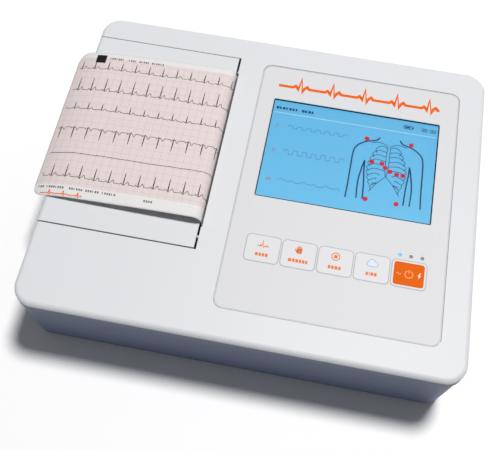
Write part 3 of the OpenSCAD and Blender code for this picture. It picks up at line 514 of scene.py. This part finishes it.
# Three traces with a mark for each lead: place on the display, shape, height in mm, periods
SIGNALS = ((0.735, square_wave, 1.0, 6.5), (0.470, square_wave, 1.7, 6.5), (0.175, low_bumps, 1.3, 5.5))
SIGNAL_STEPS = 260
for row, (v, wave, height, periods) in enumerate(SIGNALS):
    x, y = on_screen(0.04, v)
    for k in range(row + 1):
        bar = x + 1.15 * MM * k
        pink.outline(rounded(bar, y - 1.0 * MM, bar + 0.55 * MM, y + 1.0 * MM, 0.15 * MM, 2))
    points = []
    for i in range(SIGNAL_STEPS + 1):
        x, y = on_screen(0.11 + 0.36 * i / SIGNAL_STEPS, v)
        points.append((x, y + height * wave(periods * i / SIGNAL_STEPS) * MM))
    faint.line(points, 0.42 * MM)

# A plain front view of a torso without a head, the same on both sides of its middle line at BODY_U.
# Points are (distance from the middle line, height), as shares of the display.
BODY_U = 0.722
BODY_INK = 0.9 * MM
RIB_INK = 0.42 * MM
ARM_OUTSIDE = ((0.060, 0.780), (0.080, 0.745), (0.140, 0.715), (0.188, 0.660), (0.206, 0.590),
               (0.210, 0.440), (0.212, 0.260), (0.216, 0.120))
ARM_INSIDE = ((0.132, 0.520), (0.146, 0.420), (0.156, 0.290), (0.153, 0.130))
FLANK = ((0.132, 0.520), (0.130, 0.430), (0.122, 0.300), (0.117, 0.130))
COLLAR_BONE = ((0.105, 0.712), (0.055, 0.728), (0.010, 0.703))
BREASTBONE = ((0.008, 0.700), (0.010, 0.560), (0.007, 0.430), (0.0, 0.385))
RIB_ARCH = ((0.088, 0.215), (0.046, 0.310), (0.0, 0.385))
RIB_COUNT, FIRST_RIB, RIB_PITCH = 9, 0.682, 0.048
RIBS = []
for i in range(RIB_COUNT):
    v = FIRST_RIB - RIB_PITCH * i
    outer = 0.054 + 0.062 * math.sin(math.pi * (i + 1.2) / 11)
    inner = 0.012 + 0.022 * max(0, i - 5)
    RIBS.append(((inner, v), (outer * 0.6, v + 0.012), (outer, v - 0.028), (outer * 0.88, v - 0.066)))


def body_line(points, side, width):
    ink.line(smooth_line(screen_points([(BODY_U + side * u, v) for u, v in points])), width)


for side in (-1, 1):
    for points in (ARM_OUTSIDE, ARM_INSIDE, FLANK):
        body_line(points, side, BODY_INK)
    for points in (COLLAR_BONE, BREASTBONE, RIB_ARCH, *RIBS):
        body_line(points, side, RIB_INK)
# Ten electrodes in the usual places: four for the limbs and six across the chest
LIMB_ELECTRODES = ((-0.136, 0.745), (0.128, 0.750), (-0.100, 0.135), (0.078, 0.135))
CHEST_ELECTRODES = ((-0.090, 0.515), (-0.030, 0.512), (-0.008, 0.475), (0.022, 0.444), (0.062, 0.424),
                    (0.098, 0.424))
for u, v in LIMB_ELECTRODES + CHEST_ELECTRODES:
    red.disc(*on_screen(BODY_U + u, v), 1.6 * MM)
ink.make("display_drawing", SCREEN_INK, "root", "lcd_screen")
faint.make("display_traces", SCREEN_FAINT, "root", "lcd_screen")
pale.make("display_rule", SCREEN_PALE, "root", "lcd_screen")
pink.make("display_lead_marks", SCREEN_PINK, "root", "lcd_screen")
red.make("display_electrodes", SCREEN_RED, "root", "lcd_screen")


# ---------------------------------------------------------------- print on the panel and the keys
# How far print sinks into a face and stands over it
PRINT_SINK = 0.03 * MM
PRINT_RISE = 0.03 * MM
ICON_RISE = 0.04 * MM
MOTIF_RISE = 0.05 * MM
# One beat as (part of the beat, height), and where in its pitch it starts
PULSE = ((0, 0), (0.07, 0.16), (0.13, 0), (0.17, -0.14), (0.23, 0.86), (0.30, -0.34), (0.35, 0), (0.43, 0.2),
         (0.50, 0))
PULSE_START = 0.45


def pulse_line(x0, x1, y, h, beats):
    """A plain heart-beat line, used where the real machine carries lettering."""
    pts, pitch = [(x0, y)], (x1 - x0) / beats
    for i in range(beats):
        start = x0 + pitch * (i + PULSE_START)
        pts += [(start + pitch * dx, y + h * dy) for dx, dy in PULSE]
    return pts + [(x1, y)]


def print_on(z, rise=PRINT_RISE):
    return Flat(z - PRINT_SINK, z + rise)


top = panel_hi.z
motif = print_on(top, MOTIF_RISE)
motif.line(pulse_line(px0 + 0.5 * MM, px1 - 0.5 * MM, window_hi.y + 11.0 * MM, 8.6 * MM, 5), 2.0 * MM)
motif.make("panel_motif", ORANGE, "root", "panel_film")
rim = print_on(top)
inset = 0.5 * MM
rim_path = rounded(panel_lo.x + inset, panel_lo.y + inset, panel_hi.x - inset, panel_hi.y - inset,
                   5.6 * MM, 10)
rim.line(rim_path, 0.6 * MM, True)
rim.make("panel_border", GREY_LINE, "root", "panel_film")

KEY_FLANGE = 1 * MM      # a cap's flange, which is under the film, stands out this far at front and back
# Each cap as (middle x, middle y, width, depth, top)
KEYS = {}
for name in ("auto", "manual", "stop", "link", "power"):
    lo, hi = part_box("key_" + name)
    KEYS[name] = ((lo.x + hi.x) / 2, (lo.y + hi.y) / 2, hi.x - lo.x, hi.y - lo.y - 2 * KEY_FLANGE, hi.z)
WORD_DROP = 3.9 * MM     # from a key's middle to its word
WORD_HEIGHT = 2.1
OUTLINE_SINK = 0.2 * MM  # the printed outline reaches down into the gap round the cap
OUTLINE_MARGIN = 0.29 * MM
RIM_INSET = 0.6 * MM


def blocks(shape, x, y, widths, gap):
    """A row of small blocks that stands for a printed word. The widths and the gap are in mm."""
    total = sum(widths) + gap * (len(widths) - 1)
    x -= total / 2 * MM
    for w in widths:
        low, high = y - WORD_HEIGHT / 2 * MM, y + WORD_HEIGHT / 2 * MM
        shape.outline(rounded(x, low, x + w * MM, high, 0.25 * MM, 3))
        x += (w + gap) * MM


def local(points, x, y):
    return [(x + a * MM, y + b * MM) for a, b in points]


def key_ring(x, y, w, d, margin, r):
    """A key's outline, moved outward by a margin."""
    return rounded(x - w / 2 - margin, y - d / 2 - margin, x + w / 2 + margin, y + d / 2 + margin, r)


for name, (x, y, w, d, z) in KEYS.items():
    body = name + "_key"
    icon_ink, slot = KEY_INK, "key_white"
    if name == "power":
        icon_ink, slot = WHITE_INK, "key_orange"
        lines = print_on(z)
        lines.line(key_ring(x, y, w, d, -RIM_INSET, 2.0 * MM), 1.0 * MM, True)
        lines.make("key_power_rim", PALE_RIM, body, "key_white")
    # The film closes the gap round the cap with a printed outline
    outline = Flat(top - OUTLINE_SINK, top + PRINT_RISE)
    outline.line(key_ring(x, y, w, d, OUTLINE_MARGIN, 2.78 * MM), 0.5 * MM, True)
    outline.make("key_" + name + "_outline", KEY_LINE, "root", "panel_film")
    icon = print_on(z, ICON_RISE)
    iy = y + 3.0 * MM
    if name == "auto":
        beat = [(-3.2, -1.4), (-1.9, -1.4), (-1.5, -0.6), (-1.1, -1.4), (-0.7, -1.4), (-0.2, 2.9),
                (0.5, -2.0), (0.9, -1.4), (1.6, -1.4), (2.2, -0.7), (2.8, -1.4), (3.6, -1.4)]
        icon.line(local(beat, x, iy), 0.6 * MM)
        blocks(icon, x, y - WORD_DROP, (1.7, 1.5, 1.4, 1.7), 0.45)
    elif name == "manual":
        icon.outline(rounded(x - 1.6 * MM, iy - 2.2 * MM, x + 1.7 * MM, iy + 0.7 * MM, 0.9 * MM, 4))
        for dx, tip in ((-1.2, 2.4), (-0.35, 3.0), (0.5, 2.8), (1.3, 2.2)):
            x0, x1 = x + (dx - 0.33) * MM, x + (dx + 0.33) * MM
            icon.outline(rounded(x0, iy + 0.2 * MM, x1, iy + tip * MM, 0.32 * MM, 4))
        icon.line(local([(-1.3, -1.3), (-2.1, -0.1), (-2.5, 0.7)], x, iy), 0.7 * MM)
        blocks(icon, x, y - WORD_DROP, (2.0, 1.6, 1.6, 1.5, 1.6, 1.3), 0.4)
    elif name == "stop":
        icon.line(arc(x, iy + 0.2 * MM, 2.5 * MM, 2.5 * MM, 22.5, 382.5, 8)[:-1], 0.55 * MM, True)
        icon.outline(rounded(x - 1.05 * MM, iy - 0.85 * MM, x + 1.05 * MM, iy + 1.25 * MM, 0.3 * MM, 3))
        blocks(icon, x, y - WORD_DROP, (1.5, 1.5, 1.8, 1.5), 0.45)
    elif name == "link":
        shape = arc(x - 1.9 * MM, iy - 0.6 * MM, 1.3 * MM, 1.3 * MM, 270, 110, 9)
        shape += arc(x - 0.3 * MM, iy + 0.8 * MM, 1.9 * MM, 1.9 * MM, 160, 25, 10)
        shape += arc(x + 2.0 * MM, iy - 0.4 * MM, 1.5 * MM, 1.5 * MM, 80, -90, 9)
        lilac = moulded("print_lilac", (142, 156, 198), 0.5, spread=0.03)
        cloud = print_on(z, ICON_RISE)
        cloud.line(shape, 0.4 * MM, True)
        cloud.make("key_link_cloud", lilac, body, "key_white")
        pale_blue = moulded("print_pale_blue", (206, 218, 236), 0.5, spread=0.03)
        fill = print_on(z, 0.02 * MM)
        fill.outline(shape)
        fill.make("key_link_cloud_fill", pale_blue, body, "key_white")
        blocks(icon, x, y - WORD_DROP, (1.3, 0.6, 1.6, 1.6), 0.45)
    else:
        soft = print_on(z, ICON_RISE)
        soft.line(arc(x, y, 2.3 * MM, 2.3 * MM, 118, 422, 30), 0.6 * MM)
        soft.line(local([(0, 0.6), (0, 3.0)], x, y), 0.6 * MM)
        wave = [(-7.4, -0.3), (-6.7, 0.5), (-6.0, 0), (-5.3, -0.5), (-4.6, 0.3)]
        soft.line(smooth_line(local(wave, x, y - 0.2 * MM)), 0.45 * MM)
        soft.make("key_power_symbols", SOFT_ORANGE, body, "key_orange")
        bolt = [(6.6, 2.2), (5.1, -0.2), (6.1, -0.2), (5.5, -2.2), (7.3, 0.5), (6.2, 0.5), (7.2, 2.2)]
        icon.outline(local(bolt, x, y))
    icon.make("key_" + name + "_icon", icon_ink, body, slot)
# Small marks over the three status lights
marks = print_on(top)
for name in ("led_mains", "led_battery", "led_link"):
    lo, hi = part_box(name)
    x, y = (lo.x + hi.x) / 2, hi.y + 1.3 * MM
    marks.line(local([(-0.9, 0), (0.9, 0)], x, y), 0.35 * MM)
marks.make("panel_marks", GREY_LINE, "root", "panel_film")


# ---------------------------------------------------------------- chart paper
# Where the paper's outer face lies, and the steps at which it is built
SLOT_GAP = 0.22 * MM     # inside the right side of the CAD strip
TOP_GAP = 0.3 * MM       # under its top
END_GAP = 0.15 * MM      # inside its left end
PLATEN_GAP = 0.18 * MM   # off the platen, half of it taken up by the strip's thickness
ROLL_GAP = 0.15 * MM     # off the roll
PAPER_THICKNESS = 0.09 * MM
PAPER_STEP = 0.9 * MM
WEB_STEP = 1.1 * MM
WRAP_ANGLE = 80          # degrees of the platen that the strip goes round
FREE_POINTS, BEND_POINTS, WRAP_POINTS = 240, 24, 20
slot_x = strip_hi.x - SLOT_GAP
paper_top = strip_hi.z - TOP_GAP
paper_w = strip_hi.y - strip_lo.y
paper_y = (strip_hi.y + strip_lo.y) / 2
bend = 5.5 * MM
run_x = slot_x - bend
end_x = strip_lo.x + END_GAP
free_len = run_x - end_x
platen_r = (platen_hi.z - platen_lo.z) / 2
platen_z = (platen_hi.z + platen_lo.z) / 2
wrap_r = platen_r + PLATEN_GAP
wrap_x = slot_x - wrap_r


def on_platen(a):
    """The paper's place on the platen, at an angle down from its right side."""
    return wrap_x + wrap_r * math.cos(a), platen_z - wrap_r * math.sin(a)


def paper_path():
    """The outer face in profile, as (x, z), from the free left end to the platen's underside.
    The free part droops by 4.0 mm, and by 5.5 mm more close to its end."""
    line = []
    for i in range(FREE_POINTS + 1):
        u = 1 - i / FREE_POINTS
        line.append((run_x - (run_x - end_x) * u, paper_top - (4.0 * u ** 1.6 + 5.5 * u ** 10) * MM))
    for i in range(1, BEND_POINTS + 1):
        a = math.pi / 2 * i / BEND_POINTS
        line.append((run_x + bend * math.sin(a), paper_top - bend * (1 - math.cos(a))))
    line.append((slot_x, platen_z))
    for i in range(1, WRAP_POINTS + 1):
        line.append(on_platen(math.radians(WRAP_ANGLE) * i / WRAP_POINTS))
    return line


def even(line, step):
    """Points at even steps along a line."""
    out, left = [line[0]], step
    for a, b in zip(line, line[1:]):
        a, b = Vector(a), Vector(b)
        while (b - a).length >= left:
            a = a + (b - a).normalized() * left
            out.append(tuple(a))
            left = step
        left -= (b - a).length
    return out


def grid_faces(rows, cols):
    """Faces of a sheet that is this many faces long and wide."""
    corners = [i * (cols + 1) + j for i in range(rows) for j in range(cols)]
    return [[a, a + cols + 1, a + cols + 2, a + 1] for a in corners]


def map_paper(o, uvs):
    """Give each vertex its place on the paper, for the printed grid."""
    uv_layer = o.data.uv_layers.new(name="paper")
    for loop in o.data.loops:
        uv_layer.data[loop.index].uv = uvs[loop.vertex_index]


path = even(paper_path(), PAPER_STEP)
paper_len = PAPER_STEP * (len(path) - 1)


def paper_point(s, v):
    """A point of the sheet, s metres from its free end and v metres from its middle."""
    i = min(max(s / PAPER_STEP, 0.0), len(path) - 1.001)
    k = int(i)
    f = i - k
    x = path[k][0] * (1 - f) + path[k + 1][0] * f
    z = path[k][1] * (1 - f) + path[k + 1][1] * f
    # Slow waves and lower sides on the free part, which die out toward the bend
    calm = min(1.0, max(0.0, (free_len - s) / (25 * MM)))
    wave = noise.noise(Vector((s * 26, v * 17, 3.1))) * 0.55
    wave += noise.noise(Vector((s * 75, v * 40, 8.7))) * 0.16
    sag = 0.9 * (2 * v / paper_w) ** 2 * math.exp(-((s - 0.045) / 0.03) ** 2)
    z += calm * (min(0.0, wave - 0.1) - sag * 0.35) * MM
    return Vector((x, paper_y + v, z))


CORNER = 7.5 * MM        # radius of the free end's two corners
STRIP_COLS = 76
verts, uvs = [], []
for i in range(len(path)):
    s = i * PAPER_STEP
    half = paper_w / 2
    if s < CORNER:
        half -= CORNER - math.sqrt(max(0.0, CORNER ** 2 - (CORNER - s) ** 2))
    for j in range(STRIP_COLS + 1):
        v = -half + 2 * half * j / STRIP_COLS
        verts.append(paper_point(s, v))
        uvs.append((s * 10, v * 10))
faces = grid_faces(len(path) - 1, STRIP_COLS)
paper = piece("chart_strip", verts, faces, FINISH["chart_paper"], "paper_lid", True)
map_paper(paper, uvs)
thick = paper.modifiers.new("thickness", "SOLIDIFY")
thick.thickness = PAPER_THICKNESS
thick.offset = -1
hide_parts("paper_strip")


def paper_normal(s, v):
    h = 0.6 * MM
    a, b = paper_point(s + h, v) - paper_point(s - h, v), paper_point(s, v + h) - paper_point(s, v - h)
    return a.cross(b).normalized() if a.length > TINY and b.length > TINY else Vector((0, 0, 1))


INK_LIFT = 0.05          # mm between the paper's outer face and the ink
INK_STEP = 0.7           # mm between the points of a line, so that it follows the paper


class Inked:
    """Lines and marks that follow the paper's outer face. Points are (s, v) in mm."""

    def __init__(self):
        self.verts, self.faces = [], []

    def lift(self, s, v):
        n = paper_normal(s * MM, v * MM)
        outward = n.z > 0 or abs(n.z) < 0.2 and n.x > 0
        return paper_point(s * MM, v * MM) + n * INK_LIFT * MM * (1 if outward else -1)

    def line(self, corners, width):
        points = [corners[0]]
        for a, b in zip(corners, corners[1:]):
            n = max(1, math.ceil(math.dist(a, b) / INK_STEP))
            points += [(a[0] + (b[0] - a[0]) * i / n, a[1] + (b[1] - a[1]) * i / n) for i in range(1, n + 1)]
        first = len(self.verts)
        for i, p in enumerate(points):
            a, b = points[max(i - 1, 0)], points[min(i + 1, len(points) - 1)]
            d = (Vector(b) - Vector(a)).normalized()
            for side in (1, -1):
                self.verts.append(self.lift(p[0] - side * d.y * width / 2, p[1] + side * d.x * width / 2))
        for k in range(first, first + 2 * (len(points) - 1), 2):
            self.faces.append([k, k + 2, k + 3, k + 1])

    def patch(self, s0, v0, s1, v1, n=6):
        first = len(self.verts)
        for i in range(n + 1):
            for v in (v0, v1):
                self.verts.append(self.lift(s0 + (s1 - s0) * i / n, v))
        for k in range(first, first + 2 * n, 2):
            self.faces.append([k, k + 1, k + 3, k + 2])


# One heart beat as (part of the beat, height), with an R wave of height 1
BEAT = ((0.00, 0.0), (0.09, 0.0), (0.13, 0.08), (0.16, 0.12), (0.19, 0.08), (0.22, 0.0), (0.27, 0.0),
        (0.285, -0.05), (0.315, 1.0), (0.345, -0.10), (0.37, 0.0), (0.45, 0.03), (0.51, 0.14), (0.56, 0.25),
        (0.61, 0.24), (0.66, 0.09), (0.70, 0.0), (0.84, 0.0))
# In mm: a beat's length, a trace's width, and where the traces begin and end along the paper
BEAT_LENGTH = 9.4
TRACE_WIDTH = 0.33
TRACE_ENDS = (2.5, 118.0)
# Each trace's place across the paper and the height of its R wave, in mm
TRACES = ((42.5, 6.5), (25.0, 10.0), (9.5, 5.0), (-5.0, -8.5), (-24.5, 0.5), (-41.5, 8.5))


def wander(s, row):
    """The small shake and the slow drift of a trace, in mm."""
    shake = 0.22 * noise.noise(Vector((s * 2.9, row * 7.7, 0.5)))
    return shake + 0.5 * noise.noise(Vector((s * 0.07, row * 3.3, 2.5)))


traces = Inked()
for row, (middle, height) in enumerate(TRACES):
    pts = []
    for k in range(-1, 13):
        for t, h in BEAT:
            s = BEAT_LENGTH * (k + t) + 2.0 + 2.4 * (row % 3)
            if TRACE_ENDS[0] < s < TRACE_ENDS[1]:
                pts.append((s, middle + height * h + wander(s, row)))
    traces.line(pts, TRACE_WIDTH)
# The solid mark in the paper's corner, and rows of blocks in place of the margins' words
traces.patch(13.5, 47.6, 20.5, 54.0)
notes = Inked()
for i in range(26):
    if i not in (7, 8, 13, 19):
        notes.patch(23.0 + 1.45 * i, 51.0, 23.0 + 1.45 * i + (0.95 if i % 3 else 0.6), 52.4, 1)
for i in range(34):
    if i not in (3, 12, 13, 20, 27):
        notes.patch(3.5 + 1.5 * i, -50.4, 3.5 + 1.5 * i + (1.0 if i % 4 else 0.55), -48.9, 1)
for i in range(4):
    notes.patch(72.0 + 1.5 * i, -51.4, 73.0 + 1.5 * i, -50.0, 1)
piece("chart_notes", notes.verts, notes.faces, GREY_INK, "paper_lid", True)
piece("chart_traces", traces.verts, traces.faces, BLACK_INK, "paper_lid", True)
margin_motif = Inked()
motif_line = pulse_line(6 * MM, 34 * MM, -54.2 * MM, 3.0 * MM, 3)
margin_motif.line([(s * 1000, v * 1000) for s, v in motif_line], 0.6)
piece("chart_motif", margin_motif.verts, margin_motif.faces, ORANGE, "paper_lid", True)

# The roll: wound layers show as fine rings on its ends
roll_x, roll_z = (roll_lo.x + roll_hi.x) / 2, (roll_lo.z + roll_hi.z) / 2
roll_r, core_r = (roll_hi.x - roll_lo.x) / 2, (core_hi.x - core_lo.x) / 2
RINGS = 26
RING_DEPTH = 0.12 * MM
ROLL_TURNS = 96
profile = []
for i in range(RINGS + 1):
    r = core_r + (roll_r - core_r) * i / RINGS
    profile.append((r, roll_hi.y - (RING_DEPTH if i % 2 else 0)))
for part in (0.25, 0.5, 0.75):
    profile.append((roll_r, roll_hi.y + (roll_lo.y - roll_hi.y) * part))
for i in range(RINGS, -1, -1):
    r = core_r + (roll_r - core_r) * i / RINGS
    profile.append((r, roll_lo.y + (RING_DEPTH if i % 2 else 0)))
verts, faces, uvs = [], [], []
for k in range(ROLL_TURNS):
    a = 2 * math.pi * k / ROLL_TURNS
    for r, y in profile:
        verts.append((roll_x + r * math.cos(a), y, roll_z + r * math.sin(a)))
        # The ends lie off the printed grid
        uvs.append((a * r * 10 + 20, (y - paper_y) * 10 if r > roll_r * 0.999 else 9.0))
n = len(profile)
for k in range(ROLL_TURNS):
    this, following = k * n, (k + 1) % ROLL_TURNS * n
    for i in range(n):
        j = (i + 1) % n
        faces.append([this + i, this + j, following + j, following + i])
roll = piece("chart_roll", verts, faces, FINISH["chart_paper"], "paper_supply", False)
map_paper(roll, uvs)
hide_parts("paper_roll")

# The web of paper from the platen back over the tray's edge to the roll.
WEB_COLS = 24
tray_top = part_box("paper_tray")[1].z
web_r = roll_r + ROLL_GAP
knee = Vector((roll_x + roll_r + 0.5 * MM, tray_top + 0.45 * MM))
to_knee = knee - Vector((roll_x, roll_z))
leave = math.atan2(to_knee.y, to_knee.x) + math.acos(web_r / to_knee.length)
web_path = [on_platen(math.radians(WRAP_ANGLE + 2 * i)) for i in range(6)]
web_path.append(tuple(knee))
for i in range(12):
    a = leave + 0.05 * i
    web_path.append((roll_x + web_r * math.cos(a), roll_z + web_r * math.sin(a)))
web_path = even(web_path, WEB_STEP)
verts, uvs = [], []
for i, (x, z) in enumerate(web_path):
    for j in range(WEB_COLS + 1):
        v = paper_w * (j / WEB_COLS - 0.5)
        verts.append((x, paper_y + v, z))
        uvs.append(((paper_len + i * WEB_STEP) * 10, v * 10))
faces = grid_faces(len(web_path) - 1, WEB_COLS)
web = piece("chart_web", verts, faces, FINISH["chart_paper"], None, True)
map_paper(web, uvs)
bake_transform(web)

# The springs behind the print head
spring_lo, spring_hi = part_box("head_springs")
WIRE_R = 0.35 * MM
COILS, COIL_STEPS, WIRE_SIDES = 4, 24, 8
END_CLOSING = 0.35       # how much closer the turns are at the ends, as a share of their pitch
coil_r = (spring_hi.z - spring_lo.z) / 2 - WIRE_R
spring_z = (spring_hi.z + spring_lo.z) / 2
spring_len = spring_hi.x - spring_lo.x - 2 * WIRE_R
verts, faces = [], []
for y in (spring_lo.y + coil_r + WIRE_R, spring_hi.y - coil_r - WIRE_R):
    first = len(verts)
    for i in range(COILS * COIL_STEPS + 1):
        t, a = i / (COILS * COIL_STEPS), 2 * math.pi * i / COIL_STEPS
        along = t - END_CLOSING * math.sin(2 * math.pi * t) / (2 * math.pi)
        x = spring_lo.x + WIRE_R + spring_len * along
        for k in range(WIRE_SIDES):
            b = 2 * math.pi * k / WIRE_SIDES
            r = coil_r + WIRE_R * math.cos(b)
            verts.append((x + WIRE_R * math.sin(b), y + r * math.cos(a), spring_z + r * math.sin(a)))
    for i in range(COILS * COIL_STEPS):
        ring = first + i * WIRE_SIDES
        for k in range(WIRE_SIDES):
            q, r = ring + k, ring + (k + 1) % WIRE_SIDES
            faces.append([q, q + WIRE_SIDES, r + WIRE_SIDES, r])
    last = first + COILS * COIL_STEPS * WIRE_SIDES
    faces.append([first + k for k in range(WIRE_SIDES)])
    faces.append([last + k for k in reversed(range(WIRE_SIDES))])
springs = piece("head_coils", verts, faces, FINISH["steel"], None, True)
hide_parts("head_springs")
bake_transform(springs)


# ---------------------------------------------------------------- floor, light and camera
FLOOR_HALF = 6.0
FLOOR_Z = -0.0002


def stage_floor():
    s = Shader("floor_finish").set(Roughness=0.9)
    s.link(s.mix(s.noise(3.0), linear((249, 249, 250)), linear((252, 252, 252))), "Base Color")
    corners = rectangle(-FLOOR_HALF, -FLOOR_HALF, FLOOR_HALF, FLOOR_HALF)
    mesh = bpy.data.meshes.new("floor")
    mesh.from_pydata([(x, y, FLOOR_Z) for x, y in corners], [], [[0, 1, 2, 3]])
    mesh.materials.append(s.material)
    o = bpy.data.objects.new("floor", mesh)
    bpy.context.scene.collection.objects.link(o)


def area_light(name, place, target, size, energy, colour):
    light = bpy.data.lights.new(name, "AREA")
    light.shape = "DISK"
    light.size, light.energy, light.color = size, energy, colour
    o = bpy.data.objects.new(name, light)
    bpy.context.scene.collection.objects.link(o)
    o.location = place
    o.rotation_mode = "QUATERNION"
    o.rotation_quaternion = (Vector(target) - Vector(place)).to_track_quat("-Z", "Y")


TARGET = (0, 0, 0.03)
stage_floor()
area_light("key_light", (0.38, 0.42, 2.35), TARGET, 0.46, 56.0, (1.0, 0.995, 0.985))
area_light("back_fill", (0.5, 1.5, 0.35), TARGET, 0.9, 2.0, (0.97, 0.98, 1.0))
area_light("front_fill", (-0.6, -1.5, 0.30), TARGET, 0.9, 2.4, (0.94, 0.96, 1.0))
world = bpy.data.worlds.new("studio")
bpy.context.scene.world = world
world.use_nodes = True
background = world.node_tree.nodes["Background"].inputs
background["Color"].default_value = (0.92, 0.95, 1.0, 1)
background["Strength"].default_value = 0.13
bpy.context.scene.view_settings.view_transform = "Standard"


def place_camera(azimuth, elevation, roll, aim, distance, lens, shift_x, shift_y):
    a, e, r = (math.radians(t) for t in (azimuth, elevation, roll))
    back = Vector((math.sin(a) * math.cos(e), -math.cos(a) * math.cos(e), math.sin(e)))
    right = (-back).cross(Vector((0, 0, 1))).normalized()
    up = right.cross(-back)
    right, up = right * math.cos(r) + up * math.sin(r), up * math.cos(r) - right * math.sin(r)
    camera = bpy.data.cameras.new("camera")
    camera.sensor_width, camera.lens = 36, lens
    camera.shift_x, camera.shift_y = shift_x, shift_y
    o = bpy.data.objects.new("camera", camera)
    bpy.context.scene.collection.objects.link(o)
    o.matrix_world = Matrix((right, up, back)).transposed().to_4x4()
    o.location = Vector(aim) + back * distance
    bpy.context.scene.camera = o


place_camera(8.84, 62.0, 2.02, (-0.0078, 0.0164, 0.0), 0.5628, 57.6, 0.0, -0.05)
